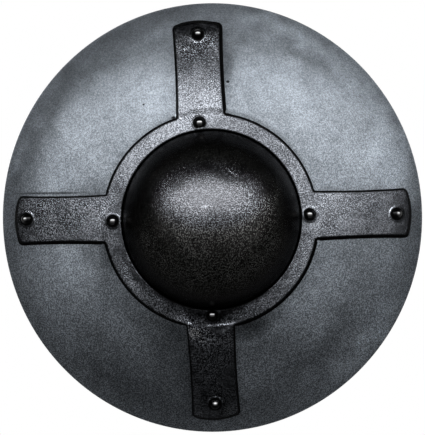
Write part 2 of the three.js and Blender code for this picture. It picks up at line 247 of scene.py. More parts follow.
def makeFloor():
    level = dishLow.z - floorPlan["drop"]
    near, far, half = floorPlan["near"], floorPlan["far"], floorPlan["halfWidth"]
    mesh = bpy.data.meshes.new("floor")
    corners = [(-half, near, level), (half, near, level), (half, far, level), (-half, far, level)]
    mesh.from_pydata(corners, [], [(0, 1, 2, 3)])
    floor = bpy.data.objects.new("floor", mesh)
    bpy.context.scene.collection.objects.link(floor)
    material = bpy.data.materials.new("paleFloor")
    material.use_nodes = True
    tree = material.node_tree
    tree.nodes.clear()
    seen = addNode(tree, "ShaderNodeLightPath").outputs["Is Camera Ray"]
    matt = addNode(tree, "ShaderNodeBsdfDiffuse")
    albedo = mixColour(tree, seen, grey(floorPlan["dimAlbedo"]), grey(floorPlan["albedo"]))
    feed(tree, matt.inputs["Color"], albedo)
    glow = addNode(tree, "ShaderNodeEmission")
    feed(tree, glow.inputs["Strength"], mathNode(tree, "MULTIPLY", seen, floorPlan["glow"]))
    both = addNode(tree, "ShaderNodeAddShader")
    tree.links.new(matt.outputs[0], both.inputs[0])
    tree.links.new(glow.outputs[0], both.inputs[1])
    output = addNode(tree, "ShaderNodeOutputMaterial")
    tree.links.new(both.outputs[0], output.inputs[0])
    mesh.materials.append(material)


makeFloor()
print("floor laid")


# Effects that several finishes share, each a node group
def newGroup(name, inputs, outputs):
    tree = bpy.data.node_groups.new(name, "ShaderNodeTree")
    for label, kind, value in inputs:
        socket = tree.interface.new_socket(name=label, in_out="INPUT", socket_type=kind)
        if value is not None:
            socket.default_value = value
    for label, kind in outputs:
        tree.interface.new_socket(name=label, in_out="OUTPUT", socket_type=kind)
    return tree, addNode(tree, "NodeGroupInput"), addNode(tree, "NodeGroupOutput")


grainPlan = {
    "detail": 1.0,
    "fineTimes": 1.7,  # how many times smaller its fine bumps are
    "swing": 0.13,  # from its mean height to its tops, and to its hollows
    "evenOut": 0.1,  # keeps the mean lightness about even as the contrast grows
}


def makeGrainGroup():
    # leathery grain: small bumps, with painted glints that make their tops lighter and their hollows
    # darker by a number of stops
    tree, given, out = newGroup("leatheryGrain", [
        ("Place", "NodeSocketVector", None),
        ("Bumps per metre", "NodeSocketFloat", 700.0),
        ("Fine share", "NodeSocketFloat", 0.4),
        ("Contrast", "NodeSocketFloat", 1.0),
    ], [("Height", "NodeSocketFloat"), ("Level", "NodeSocketFloat")])
    place, bumps, share, contrast = given.outputs[:4]
    coarse = noiseNode(tree, place, bumps, grainPlan["detail"])
    fineBumps = mathNode(tree, "MULTIPLY", bumps, grainPlan["fineTimes"])
    fine = noiseNode(tree, place, fineBumps, grainPlan["detail"])
    height = mathNode(tree, "ADD", coarse, mathNode(tree, "MULTIPLY", fine, share))
    feed(tree, out.inputs["Height"], height)
    middle = mathNode(tree, "MULTIPLY", mathNode(tree, "ADD", share, 1.0), 0.5)
    swing = grainPlan["swing"]
    tops = ramp(tree, mathNode(tree, "SUBTRACT", height, middle), -swing, swing, -1.0, 1.0, smooth=False)
    tops = mathNode(tree, "SUBTRACT", tops, mathNode(tree, "MULTIPLY", contrast, grainPlan["evenOut"]))
    stops = mathNode(tree, "MULTIPLY", tops, contrast)
    feed(tree, out.inputs["Level"], mathNode(tree, "POWER", 2.0, stops))
    return tree


patchPlan = {
    "noise": (5.0, 0.62, 0.3),  # detail, roughness and distortion
    "cut": (0.75, 0.25),  # the noise's value at the patches' edge, for none of them and for all
}


def makePatchGroup():
    # soft uneven patches, such as where a dark finish was rubbed back
    tree, given, out = newGroup("rubbedPatches", [
        ("Place", "NodeSocketVector", None),
        ("Patches per metre", "NodeSocketFloat", 30.0),
        ("Amount", "NodeSocketFloat", 0.5),
        ("Softness", "NodeSocketFloat", 0.2),
    ], [("Mask", "NodeSocketFloat")])
    place, perMetre, amount, softness = given.outputs[:4]
    cloud = noiseNode(tree, place, perMetre, *patchPlan["noise"])
    middle = evenRamp(tree, amount, *patchPlan["cut"])
    low = mathNode(tree, "SUBTRACT", middle, softness)
    high = mathNode(tree, "ADD", middle, softness)
    feed(tree, out.inputs["Mask"], ramp(tree, cloud, low, high))
    return tree


lightAndAgePlan = {
    "cloudsPerMetre": 160.0,
    "cloudDetail": 4.0,
    "unevenness": 0.5,
}


def makeLightAndAgeGroup():
    # a colour made lighter or darker by a tone of painted light and shade and of wear, and unevenly, as by
    # years of handling
    tree, given, out = newGroup("lightAndAgeColour", [
        ("Place", "NodeSocketVector", None),
        ("Colour", "NodeSocketColor", grey(0.5)),
        ("Tone", "NodeSocketFloat", 1.0),
        ("Unevenness", "NodeSocketFloat", 0.2),
    ], [("Colour", "NodeSocketColor")])
    place, colour, tone, unevenness = given.outputs[:4]
    cloud = noiseNode(tree, place, lightAndAgePlan["cloudsPerMetre"], lightAndAgePlan["cloudDetail"])
    swing = mathNode(tree, "MULTIPLY", mathNode(tree, "SUBTRACT", cloud, 0.5), unevenness)
    times = mathNode(tree, "MULTIPLY", tone, mathNode(tree, "ADD", swing, 1.0))
    feed(tree, out.inputs[0], lightened(tree, colour, times))
    return tree


# Where a scar fades, in squared shares of its half length and half width
scarFade = (0.2, 1.7)


def makeScarGroup():
    # one small mark at a place on the front: a pit, a fleck or a scratch
    tree, given, out = newGroup("scar", [
        ("Place", "NodeSocketVector", None),
        ("Middle", "NodeSocketVector", None),
        ("Along", "NodeSocketVector", None),
        ("Length", "NodeSocketFloat", 0.001),
        ("Width", "NodeSocketFloat", 0.001),
    ], [("Mask", "NodeSocketFloat")])
    place, middle, along, length, width = given.outputs[:5]
    away = vectorNode(tree, "SUBTRACT", place, middle, "Vector")
    away = vectorNode(tree, "MULTIPLY", away, (1.0, 0.0, 1.0), "Vector")  # as seen from the front
    forward = vectorNode(tree, "DOT_PRODUCT", away, along, "Value")
    forward = mathNode(tree, "MULTIPLY", forward, forward)
    whole = vectorNode(tree, "DOT_PRODUCT", away, away, "Value")
    aside = mathNode(tree, "SUBTRACT", whole, forward)
    reach = mathNode(tree, "ADD",
                     mathNode(tree, "DIVIDE", forward, mathNode(tree, "MULTIPLY", length, length)),
                     mathNode(tree, "DIVIDE", aside, mathNode(tree, "MULTIPLY", width, width)))
    feed(tree, out.inputs[0], ramp(tree, reach, *scarFade, 1.0, 0.0))
    return tree


grainGroup = makeGrainGroup()
patchGroup = makePatchGroup()
lightAndAgeGroup = makeLightAndAgeGroup()
scarGroup = makeScarGroup()


def useGroup(tree, group, **values):
    node = addNode(tree, "ShaderNodeGroup")
    node.node_tree = group
    for label, value in values.items():
        feed(tree, node.inputs[label.replace("_", " ")], value)
    return node


def pieceValue(tree, label):
    return addNode(tree, "ShaderNodeAttribute", attribute_name=label).outputs["Fac"]


def grained(tree, place, finish):
    # height and lightness of a finish's grain, its painted glints as strong as the piece's grit and glints
    # say
    grain = useGroup(tree, grainGroup, Place=place, Bumps_per_metre=finish["bumps"],
                     Fine_share=finish["fineShare"], Contrast=pieceValue(tree, "gritAndGlints"))
    return grain.outputs["Height"], grain.outputs["Level"]


def patches(tree, place, plan):
    # plan: how many to the metre, how much they cover and how soft they are
    perMetre, amount, softness = plan
    return useGroup(tree, patchGroup, Place=place, Patches_per_metre=perMetre, Amount=amount,
                    Softness=softness).outputs[0]


def lightAndAge(tree, place, colour):
    return useGroup(tree, lightAndAgeGroup, Place=place, Colour=colour, Tone=pieceValue(tree, "tone"),
                    Unevenness=lightAndAgePlan["unevenness"]).outputs[0]


def scarred(tree, place, colour, scars):
    # each scar: mm to the right of and above the middle of the dish, its turn in degrees, half its length
    # and half its width in mm, and how many times lighter it is
    for right, up, turn, length, width, times in scars:
        mask = useGroup(tree, scarGroup, Place=place, Length=length * mm, Width=width * mm,
                        Middle=(dishX + right * mm, 0.0, dishZ + up * mm),
                        Along=(math.cos(turn * degree), 0.0, math.sin(turn * degree))).outputs[0]
        level = mathNode(tree, "ADD", mathNode(tree, "MULTIPLY", mask, times - 1.0), 1.0)
        colour = lightened(tree, colour, level)
    return colour


def newFinish(name, metallic=1.0):
    material = bpy.data.materials.new(name)
    material.use_nodes = True
    tree = material.node_tree
    shader = tree.nodes["Principled BSDF"]
    shader.inputs["Metallic"].default_value = metallic
    place = addNode(tree, "ShaderNodeTexCoord").outputs["Object"]
    return material, tree, shader, place


def addBump(tree, shader, height, depth):
    bump = addNode(tree, "ShaderNodeBump")
    feed(tree, bump.inputs["Height"], height)
    feed(tree, bump.inputs["Distance"], depth)
    tree.links.new(bump.outputs[0], shader.inputs["Normal"])


# In every finish, patches are given by how many there are to the metre, how much they cover and how soft
# they are, and bumps by how many there are to the metre
dishFinish = {
    "pale": (0.268, 0.296, 0.328, 1),
    "dark": (0.085, 0.097, 0.113, 1),
    # colour of the dirt and painted shade on the dish beside the plate
    "grimeAndShade": (0.02, 0.02, 0.02, 1),
    "roughness": (0.47, 0.62),
    "clouds": (22.0, 0.4, 0.25),
    "specks": (560.0, 0.42, 0.22),
    "cloudDark": 0.3,
    "speckDark": 0.45,
    "bumps": 1000.0,
    "fineShare": 0.6,
    "skinSize": 1.3 * mm,
    "skinRoughness": 0.6,
    "skinDepth": 0.13 * mm,
    "scars": [
        (-57.7, 94.6, 0, 0.9, 0.8, 0.1), (12.8, 113.7, 0, 1.4, 1.15, 0.05),
        (12.5, 111.9, 0, 1.5, 0.8, 1.35), (-32.7, 83.4, 25, 1.8, 1.2, 0.06),
        # the last one here, a long dark line beside the left arm, is painted shade of a small groove
        (-30.8, 85.0, 60, 1.2, 0.9, 2.3), (-136.5, 20.4, 0.5, 28, 1.0, 0.32),
    ],
}


def makeDishFinish():
    material, tree, shader, place = newFinish("dishSteel")
    clouds = patches(tree, place, dishFinish["clouds"])
    specks = patches(tree, place, dishFinish["specks"])
    dark = mathNode(tree, "ADD", mathNode(tree, "MULTIPLY", clouds, dishFinish["cloudDark"]),
                    mathNode(tree, "MULTIPLY", specks, dishFinish["speckDark"]), clamp=True)
    colour = mixColour(tree, dark, dishFinish["pale"], dishFinish["dark"])
    colour = lightened(tree, colour, grained(tree, place, dishFinish)[1])
    colour = mixColour(tree, pieceValue(tree, "grimeAndShade"), colour, dishFinish["grimeAndShade"])
    colour = scarred(tree, place, lightAndAge(tree, place, colour), dishFinish["scars"])
    feed(tree, shader.inputs["Base Color"], colour)
    feed(tree, shader.inputs["Roughness"], evenRamp(tree, dark, *dishFinish["roughness"]))
    skin = noiseNode(tree, place, 1 / dishFinish["skinSize"], roughness=dishFinish["skinRoughness"])
    addBump(tree, shader, skin, dishFinish["skinDepth"])
    return material


plateFinish = {
    "black": (0.098, 0.104, 0.116, 1),
    "worn": (0.166, 0.176, 0.195, 1),
    # the black line along its edges: dirt and painted shade in the seam
    "edge": (0.004, 0.004, 0.004, 1),
    "roughness": (0.23, 0.31),
    "edgeRoughness": 0.6,
    "rubbedAndLit": (45.0, 0.45, 0.2),
    "bumps": 1020.0,
    "fineShare": 0.5,
    "grainDepth": 0.24 * mm,
    "scars": [
        (-26.4, 83.0, 150, 1.4, 0.7, 1.7), (-27.0, 81.5, 145, 1.8, 0.6, 0.35),
        (-23.1, 141.0, 60, 2.2, 1.6, 2.0), (-0.4, 146.0, 20, 2.0, 1.2, 2.2),
        (1.9, 142.6, 120, 2.4, 1.5, 2.2), (-165.6, 12.0, 75, 3.4, 1.3, 0.3),
        (-166.8, 3.0, 90, 3.4, 1.4, 0.3), (-166.6, -8.0, 95, 4.5, 1.3, 0.35),
    ],
}


def makePlateFinish():
    material, tree, shader, place = newFinish("plateBlack")
    height, level = grained(tree, place, plateFinish)
    rubbedAndLit = patches(tree, place, plateFinish["rubbedAndLit"])
    colour = mixColour(tree, rubbedAndLit, plateFinish["black"], plateFinish["worn"])
    colour = lightened(tree, colour, level)
    colour = scarred(tree, place, lightAndAge(tree, place, colour), plateFinish["scars"])
    # black line of dirt and painted shade along its edges and round its opening
    edge = pieceValue(tree, "edge")
    feed(tree, shader.inputs["Base Color"], mixColour(tree, edge, colour, plateFinish["edge"]))
    worn = evenRamp(tree, rubbedAndLit, *plateFinish["roughness"])
    matt = mathNode(tree, "MULTIPLY", edge, plateFinish["edgeRoughness"])
    feed(tree, shader.inputs["Roughness"], mathNode(tree, "MAXIMUM", worn, matt))
    addBump(tree, shader, height, plateFinish["grainDepth"])
    return material


# Boss: a ball's cap on a flat flange, with a tight fillet at its foot
boss = {
    "sheet": 1.6 * mm,
    "radius": 75.6 * mm,
    "height": 58 * mm,
    "fillet": 1.8 * mm,
    "flangeRadius": 89 * mm,
    "flangeSoft": 0.3 * mm,
    "segments": 160,
    "steps": 56,
    "filletSteps": 6,
    "dentDepth": 0.22 * mm,
    "dentSize": 17 * mm,
    "dentSeed": 1.3,
    "evenFoot": (4 * mm, 12 * mm),  # height that stays true, and the one over which the dents set in
    "inShade": 0.14,  # painted shade: share of the brightness left near the foot
    "shadeFrom": 46,  # mm from the middle where that starts
    "shadeTo": 68,  # and where it is complete
    "footLight": 0.5,  # what is left at the very foot
    "footFrom": 72.0,  # mm from the middle where that starts
    "footFade": 2.2,
    "gritAndGlints": (0.7, 2.6),  # stops of the grain's contrast and its painted glints, where the crown is rubbed even about the highlight and where it is not
    "rubMiddle": (-2, 20),  # mm from the middle of the boss
    "rubReach": (44, 26),
    "rubFade": 1.5,  # above 1 it ends more suddenly
    # painted highlight and shade on the boss, in the terms of toneFrom
    "marks": [
        (178, 48, 30, 12, -0.8), (190, 58, 22, 6, 1.0), (25, 60, 14, 6, 0.6), (202, 36, 16, 10, -1.0),
        (110, 34, 16, 8, 0.25), (80, 40, 24, 4, -1.3), (92, 53, 26, 8, 0.7), (135, 43, 7, 5, -1.0),
        (37, 50, 7, 5, -0.5), (34, 44, 16, 9, -0.5), (22, 38, 12, 8, -0.35), (338, 36, 20, 9, -0.4),
        (168, 14, 55, 13, 0.4), (258, 34, 20, 8, 0.4), (302, 40, 14, 8, 0.6), (270, 32, 60, 14, 0.25),
        (270, 54, 42, 9, -1.2), (62, 58, 14, 8, 0.8), (118, 58, 14, 8, 0.8), (148, 60, 14, 9, 1.0),
        (28, 60, 14, 8, 1.2), (6, 52, 20, 10, 1.3), (140, 52, 12, 8, 0.9), (24, 54, 10, 6, 0.6),
    ],
}
bossFinish = {
    "black": (0.089, 0.092, 0.1005, 1),
    "brown": (0.0985, 0.098, 0.094, 1),  # where nothing rubs
    "roughness": (0.15, 0.2),
    "rubbedAndLit": (35.0, 0.5, 0.25),
    "bumps": 1050.0,
    "fineShare": 0.6,
    "grainDepth": 0.16 * mm,
    "scars": [
        (-6.6, 8.8, 10, 2.6, 1.9, 1.35), (-3.4, 10.2, 30, 1.3, 1.0, 1.5), (-0.8, 8.7, 0, 1.1, 0.9, 1.6),
        (13.4, 38.8, -40, 3.0, 0.8, 2.0), (17.8, 35.9, -28, 4.0, 0.9, 2.0),
        (14.0, 35.6, -38, 5.0, 0.9, 0.4),
    ],
}


def makeBossFinish():
    material, tree, shader, place = newFinish("bossBlack")
    height, level = grained(tree, place, bossFinish)
    rubbedAndLit = patches(tree, place, bossFinish["rubbedAndLit"])
    inShade = ramp(tree, pieceValue(tree, "gritAndGlints"), sum(boss["gritAndGlints"]) / 2, boss["gritAndGlints"][1])
    colour = mixColour(tree, inShade, bossFinish["black"], bossFinish["brown"])
    colour = lightened(tree, colour, level)
    colour = scarred(tree, place, lightAndAge(tree, place, colour), bossFinish["scars"])
    feed(tree, shader.inputs["Base Color"], colour)
    feed(tree, shader.inputs["Roughness"], evenRamp(tree, rubbedAndLit, *bossFinish["roughness"]))
    addBump(tree, shader, height, bossFinish["grainDepth"])
    return material


rivetFinish = {
    "dark": (0.2, 0.2, 0.205, 1),
    "bright": (0.27, 0.27, 0.275, 1),
    "roughness": (0.04, 0.09),
    "rubbedAndLit": (300.0, 0.5, 0.2),
    "dentSize": 2.5 * mm,
    "dentDepth": 0.03 * mm,
}


def makeRivetFinish():
    material, tree, shader, place = newFinish("rivetShade")
    rubbedAndLit = patches(tree, place, rivetFinish["rubbedAndLit"])
    colour = mixColour(tree, rubbedAndLit, rivetFinish["dark"], rivetFinish["bright"])
    feed(tree, shader.inputs["Base Color"], lightAndAge(tree, place, colour))
    feed(tree, shader.inputs["Roughness"], evenRamp(tree, rubbedAndLit, *rivetFinish["roughness"]))
    dented = noiseNode(tree, place, 1 / rivetFinish["dentSize"], 1.0)
    addBump(tree, shader, dented, rivetFinish["dentDepth"])
    return material


barFinish = {
    "steel": (0.2, 0.205, 0.21, 1),
    "scale": (0.06, 0.06, 0.062, 1),
    "rust": (0.09, 0.045, 0.025, 1),
    "roughness": (0.38, 0.62),
    "scaled": (90.0, 0.5, 0.15),
    "rusted": (140.0, 0.22, 0.1),
    "rustCover": 0.6,
    "rustMetallic": 0.4,
    "forgeSize": 4 * mm,
    "forgeDepth": 0.12 * mm,
}


def makeBarFinish():
    material, tree, shader, place = newFinish("forgedSteel")
    scaled = patches(tree, place, barFinish["scaled"])
    rusted = patches(tree, place, barFinish["rusted"])
    colour = mixColour(tree, scaled, barFinish["steel"], barFinish["scale"])
    cover = mathNode(tree, "MULTIPLY", rusted, barFinish["rustCover"])
    feed(tree, shader.inputs["Base Color"], mixColour(tree, cover, colour, barFinish["rust"]))
    feed(tree, shader.inputs["Roughness"], evenRamp(tree, scaled, *barFinish["roughness"]))
    feed(tree, shader.inputs["Metallic"], evenRamp(tree, rusted, 1.0, barFinish["rustMetallic"]))
    forged = noiseNode(tree, place, 1 / barFinish["forgeSize"])
    addBump(tree, shader, forged, barFinish["forgeDepth"])
    return material


pinFinish = {
    "steel": (0.45, 0.45, 0.44, 1),
    "dull": (0.26, 0.26, 0.26, 1),
    "roughness": 0.33,
    "worn": (400.0, 0.4, 0.2),
    "fileSize": 3 * mm,
    "fileStretch": (1.0, 1.0, 14.0),
    "fileDepth": 0.03 * mm,
}


def makePinFinish():
    material, tree, shader, place = newFinish("filedSteel")
    worn = patches(tree, place, pinFinish["worn"])
    feed(tree, shader.inputs["Base Color"], mixColour(tree, worn, pinFinish["steel"], pinFinish["dull"]))
    shader.inputs["Roughness"].default_value = pinFinish["roughness"]
    filed = noiseNode(tree, stretched(tree, place, pinFinish["fileStretch"]), 1 / pinFinish["fileSize"])
    addBump(tree, shader, filed, pinFinish["fileDepth"])
    return material


woodFinish = {
    "light": (0.17, 0.078, 0.034, 1),
    "dark": (0.05, 0.022, 0.011, 1),
    "grimeAndShade": (0.02, 0.012, 0.008, 1),
    "roughness": (0.38, 0.6),
    "ringSize": 5 * mm,
    "ringStretch": (0.09, 1.0, 1.0),
    "ringTurn": (0.0, 0.0, 0.04),
    "ringNoise": (3.0, 0.55, 1.2),  # detail, roughness and distortion
    "ringEdges": (0.35, 0.65),
    "ringDepth": 0.4,  # as a share of the pores'
    "poreSize": 0.7 * mm,
    "poreStretch": (0.06, 1.0, 1.0),
    "poreEdges": (0.36, 0.46),
    "poreDark": 0.7,
    "poreDepth": 0.12 * mm,
    "handled": (40.0, 0.45, 0.25),
    "handDark": 0.5,
}


def makeWoodFinish():
    material, tree, shader, place = newFinish("oiledWood", metallic=0.0)
    along = stretched(tree, place, woodFinish["ringStretch"], woodFinish["ringTurn"])
    rings = noiseNode(tree, along, 1 / woodFinish["ringSize"], *woodFinish["ringNoise"])
    streak = ramp(tree, rings, *woodFinish["ringEdges"])
    pits = noiseNode(tree, stretched(tree, place, woodFinish["poreStretch"]), 1 / woodFinish["poreSize"])
    pores = ramp(tree, pits, *woodFinish["poreEdges"], 1.0, 0.0)
    handled = patches(tree, place, woodFinish["handled"])
    colour = mixColour(tree, streak, woodFinish["dark"], woodFinish["light"])
    for mask, cover in ((pores, woodFinish["poreDark"]), (handled, woodFinish["handDark"])):
        colour = mixColour(tree, mathNode(tree, "MULTIPLY", mask, cover), colour, woodFinish["grimeAndShade"])
    feed(tree, shader.inputs["Base Color"], colour)
    feed(tree, shader.inputs["Roughness"], evenRamp(tree, handled, *woodFinish["roughness"]))
    relief = mathNode(tree, "MULTIPLY", rings, woodFinish["ringDepth"])
    addBump(tree, shader, mathNode(tree, "SUBTRACT", relief, pores), woodFinish["poreDepth"])
    return material


finishes = {
    "dish_steel": makeDishFinish(),
    "boss_black": makeBossFinish(),
    "plate_dark": makePlateFinish(),
    "rivet_black": makeRivetFinish(),
    "bar_steel": makeBarFinish(),
    "pin_steel": makePinFinish(),
    "grip_wood": makeWoodFinish(),
}
print("finishes mixed")


# Making pieces: plain lists of points and faces, closed and facing out
tiny = 1e-7


def makePiece(name, points, faces, slotName, replaced, sharp=35):
    mesh = bpy.data.meshes.new(name)
    mesh.from_pydata([tuple(point) for point in points], [], faces)
    bm = bmesh.new()
    bm.from_mesh(mesh)
    bmesh.ops.recalc_face_normals(bm, faces=bm.faces)
    bm.to_mesh(mesh)
    bm.free()
    mesh.shade_smooth()
    mesh.set_sharp_from_angle(angle=sharp * degree)
    piece = bpy.data.objects.new(name, mesh)
    bpy.context.scene.collection.objects.link(piece)
    mesh.materials.append(finishes[slotName])
    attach(piece, "root")
    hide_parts(*replaced)
    return piece


def bandFaces(rings, segments, loop=False):
    # faces between rings that have as many points each, one ring after the other
    faces = []
    for k in range(rings if loop else rings - 1):
        start, following = k * segments, (k + 1) % rings * segments
        for i in range(segments):
            j = (i + 1) % segments
            faces.append((start + i, start + j, following + j, following + i))
    return faces


def cappedFaces(rings, segments):
    last = (rings - 1) * segments
    caps = [tuple(range(segments)), tuple(range(last + segments - 1, last - 1, -1))]
    return bandFaces(rings, segments) + caps


def turnedMesh(profile, segments, loop=False):
    # profile: pairs of radius and distance along the axis; gives the points in the axis's own frame
    points, rings, faces = [], [], []
    for radius, along in profile:
        if radius < tiny:
            rings.append([len(points)] * segments)
            points.append((0.0, 0.0, along))
            continue
        rings.append(list(range(len(points), len(points) + segments)))
        for i in range(segments):
            angle = 2 * math.pi * i / segments
            points.append((radius * math.cos(angle), radius * math.sin(angle), along))
    pairs = list(zip(rings, rings[1:]))
    if loop:
        pairs.append((rings[-1], rings[0]))
    for ring, following in pairs:
        for i in range(segments):
            j = (i + 1) % segments
            corners = [ring[i], ring[j], following[j], following[i]]
            face = tuple(dict.fromkeys(corners))
            if len(face) > 2:
                faces.append(face)
    return np.array(points), faces


def rounded(profile, radius, steps=3, loop=False):
    # the same profile with each corner eased over a short stretch, less than half of either side
    mostShare = 0.45
    count = len(profile)
    result = []
    for i, corner in enumerate(profile):
        if not loop and i in (0, count - 1):
            result.append(corner)
            continue
        here = np.array(corner, float)
        before = np.array(profile[i - 1], float) - here
        after = np.array(profile[(i + 1) % count], float) - here
        lengths = np.linalg.norm(before), np.linalg.norm(after)
        reach = min(radius, mostShare * lengths[0], mostShare * lengths[1])
        start = here + before / lengths[0] * reach
        end = here + after / lengths[1] * reach
        for k in range(steps + 1):
            t = k / steps
            point = (1 - t) ** 2 * start + 2 * t * (1 - t) * here + t ** 2 * end
            result.append(tuple(point))
    return result


def axisOf(name):
    # middle, forward direction, and nearest and furthest point along it, of a round solid
    co = np.array([tuple(v.co) for v in nodes[name].data.vertices])
    co = np.unique(np.round(co, 6), axis=0)
    middle = co.mean(axis=0)
    spread, directions = np.linalg.eigh(np.cov((co - middle).T))
    odd = 0 if spread[1] - spread[0] > spread[2] - spread[1] else 2
    axis = directions[:, odd]
    if axis[1] > 0:
        axis = -axis
    along = (co - middle) @ axis
    return middle, axis, along.min(), along.max()


def setOnAxis(points, middle, axis):
    # puts points from an axis's own frame into place, their third value running along the axis
    side = np.cross(axis, (0.0, 0.0, 1.0))
    side /= np.linalg.norm(side)
    up = np.cross(side, axis)
    return middle + points[:, :1] * side + points[:, 1:2] * up + points[:, 2:] * axis


def setValues(piece, label, values):
    attribute = piece.data.attributes.new(label, "FLOAT", "POINT")
    attribute.data.foreach_set("value", np.asarray(values, np.float32))


def eased(share):
    # from 0 to 1 with soft ends
    share = np.clip(share, 0, 1)
    return share * share * (3 - 2 * share)


def waver(x, z, size, seed):
    # slow unevenness of hand work, between about -0.5 and 0.5
    return np.array([noise.noise(Vector((a / size, b / size, seed))) for a, b in zip(x, z)])


# How a mark's outline wavers: by how much, over what distance and by which seed
turnWaver = (6, 22 * mm, 5.3)  # degrees
awayWaver = (8, 16 * mm, 9.4)  # mm


def toneFrom(marks, x, z):
    # Lightness painted in for light and shade, and left by wear and dirt. Each mark has its angle, its
    # distance in mm, its spread in degrees and in mm, and its strength, positive for lighter: 1 doubles
    # the lightness and -1 halves it.
    angle = np.arctan2(z, x) / degree + turnWaver[0] * waver(x, z, *turnWaver[1:])
    radius = np.hypot(x, z) / mm + awayWaver[0] * waver(x, z, *awayWaver[1:])
    total = np.zeros_like(radius)
    for turn, away, turnSpread, spread, strength in marks:
        aside = (angle - turn + 180) % 360 - 180
        total += strength * np.exp(-(aside / turnSpread) ** 2 - ((radius - away) / spread) ** 2)
    return 2 ** total


# Dish: a flat seat for the boss, a tight shoulder, a shallow dome and a rim that rolls back. It is
# fitted between the solids' seat and their rim plane, and has the unevenness of a hammered sheet.
dish = {
    "sheet": 1.6 * mm,
    "seat": 89 * mm,
    "shoulderRadius": 10 * mm,
    "shoulderSlope": 20 * degree,
    "domeSlope": 28 * degree,
    "rollStart": 149 * mm,
    "steepest": 75 * degree,  # the most that the rim may slope
    "opening": 77.9 * mm,
    "edgeWidth": 1.85 * mm,
    "edgeSoft": 0.35 * mm,
    "edgeDraw": 0.3,  # share of edgeSoft by which the edge's outer corner is drawn in
    "backGap": 0.05 * mm,  # how far the back stays in front of the rim's plane
    "segments": 360,
    "seatSteps": 6,
    "ringStep": 1.6 * mm,
    "dentDepth": 0.35 * mm,
    "dentSize": 30 * mm,
    "dentSeed": 3.7,
    "smallDentShare": 0.35,
    "smallDentTimes": 2.4,  # how many times smaller they are
    "smallDentSeed": 8.1,
    "dentStart": 12 * mm,  # width beside the seat over which the dents set in
    "dentEnd": 10 * mm,  # and the one beside the rim over which they end
    "grimeAndShadeNear": 0.3,  # dirt and painted shade, right beside the plate
    "grimeAndShadeReach": 3.5 * mm,
    "gritAndGlints": (0.3, 1.05),  # stops of the grain's contrast and its painted glints, at the top and at the bottom
    "gritSpan": 240 * mm,  # height over which it changes
    # painted light and shade, with patina and wear, in the terms of toneFrom
    "marks": [
        (12, 162, 16, 16, 0.75), (15, 125, 11, 40, 0.25), (30, 170, 16, 8, 0.4), (38, 97, 16, 6, -0.35),
        (60, 96, 10, 6, -0.25), (62, 128, 9, 10, 0.2), (62, 156, 10, 8, -0.75), (74, 148, 10, 9, -0.4),
        (72, 172, 14, 8, 0.6), (85, 132, 5, 30, -1.2), (104, 107, 7, 14, 0.2), (106, 138, 8, 18, -0.65),
        (104, 174, 8, 7, -0.4), (116, 112, 14, 24, 0.4), (120, 158, 13, 14, -0.85),
        (137, 165, 14, 10, -0.6), (150, 137, 12, 12, 0.2), (150, 160, 12, 9, -0.6),
        (166, 130, 9, 13, 0.6), (168, 99, 10, 8, -0.4), (166, 164, 10, 10, -0.5),
        (194, 128, 10, 16, 0.6), (196, 98, 14, 9, -1.4), (207, 122, 12, 18, 0.3),
        (205, 160, 16, 14, 0.4), (225, 104, 8, 8, -0.4), (228, 140, 12, 14, -0.45),
        (240, 98, 10, 14, -0.6), (238, 158, 14, 12, -0.7), (255, 98, 14, 16, -1.3),
        (254, 136, 11, 34, -0.8), (262.5, 125, 4, 45, -0.9), (288, 92, 14, 10, -2.3),
        (286, 118, 10, 12, -0.5), (286, 105, 9, 6, 0.3), (285, 160, 12, 14, -0.6),
        (300, 138, 10, 22, -0.5), (300, 105, 9, 9, 0.3), (315, 144, 14, 11, -0.8),
        (315, 116, 10, 14, 0.25), (322, 172, 22, 9, 0.8), (322, 104, 20, 14, 0.25),
        (330, 159, 10, 9, 0.35), (348, 126, 9, 16, -0.35), (0, 171, 7, 8, -0.5), (181, 173, 5, 8, 0.3),
        (165, 175, 6, 4, 0.6), (106, 160, 7, 8, 0.5), (15, 148, 9, 12, 0.25), (45, 148, 8, 12, 0.25),
        (345, 172, 8, 8, -0.3), (60, 172, 55, 14, 0.45), (135, 172, 40, 14, 0.35),
        (32, 150, 8, 14, -0.2), (292, 112, 12, 7, -0.3), (120, 174, 7, 6, -0.4), (87, 124, 6, 24, -0.3),
        (68, 128, 14, 30, 0.3), (105, 130, 10, 14, 0.3), (318, 140, 34, 40, 0.1),
    ],
}


def dishArcs(rimSlope):
    # start, depth, radius and slopes of each arc from the seat outwards, then where the last one ends
    shoulder, dome = dish["shoulderSlope"], dish["domeSlope"]
    edgeRun = dish["sheet"] * math.cos(rimSlope) ** 2 / math.sin(rimSlope)
    domeStart = dish["seat"] + dish["shoulderRadius"] * math.sin(shoulder)
    domeRadius = (dish["rollStart"] - domeStart) / (math.sin(dome) - math.sin(shoulder))
    rollRadius = (rimRadius - edgeRun - dish["rollStart"]) / (math.sin(rimSlope) - math.sin(dome))
    arcs = []
    rho, drop = dish["seat"], 0.0
    for radius, low, high in [(dish["shoulderRadius"], 0.0, shoulder), (domeRadius, shoulder, dome),
                              (rollRadius, dome, rimSlope)]:
        arcs.append((rho, drop, radius, low, high))
        rho += radius * (math.sin(high) - math.sin(low))
        drop += radius * (math.cos(low) - math.cos(high))
    return arcs, rho, drop


def fitRimSlope():
    # the slope at which the rim comes to the solids' rim plane
    low, high = dish["domeSlope"] + degree, dish["steepest"]
    for _ in range(40):
        middle = (low + high) / 2
        arcs, rho, drop = dishArcs(middle)
        if drop + (rimRadius - rho) * math.tan(middle) < rimPlane - seatFace:
            low = middle
        else:
            high = middle
    return middle


rimSlope = fitRimSlope()
arcs, rollEnd = dishArcs(rimSlope)[:2]
print("rim slope", round(rimSlope / degree, 1))


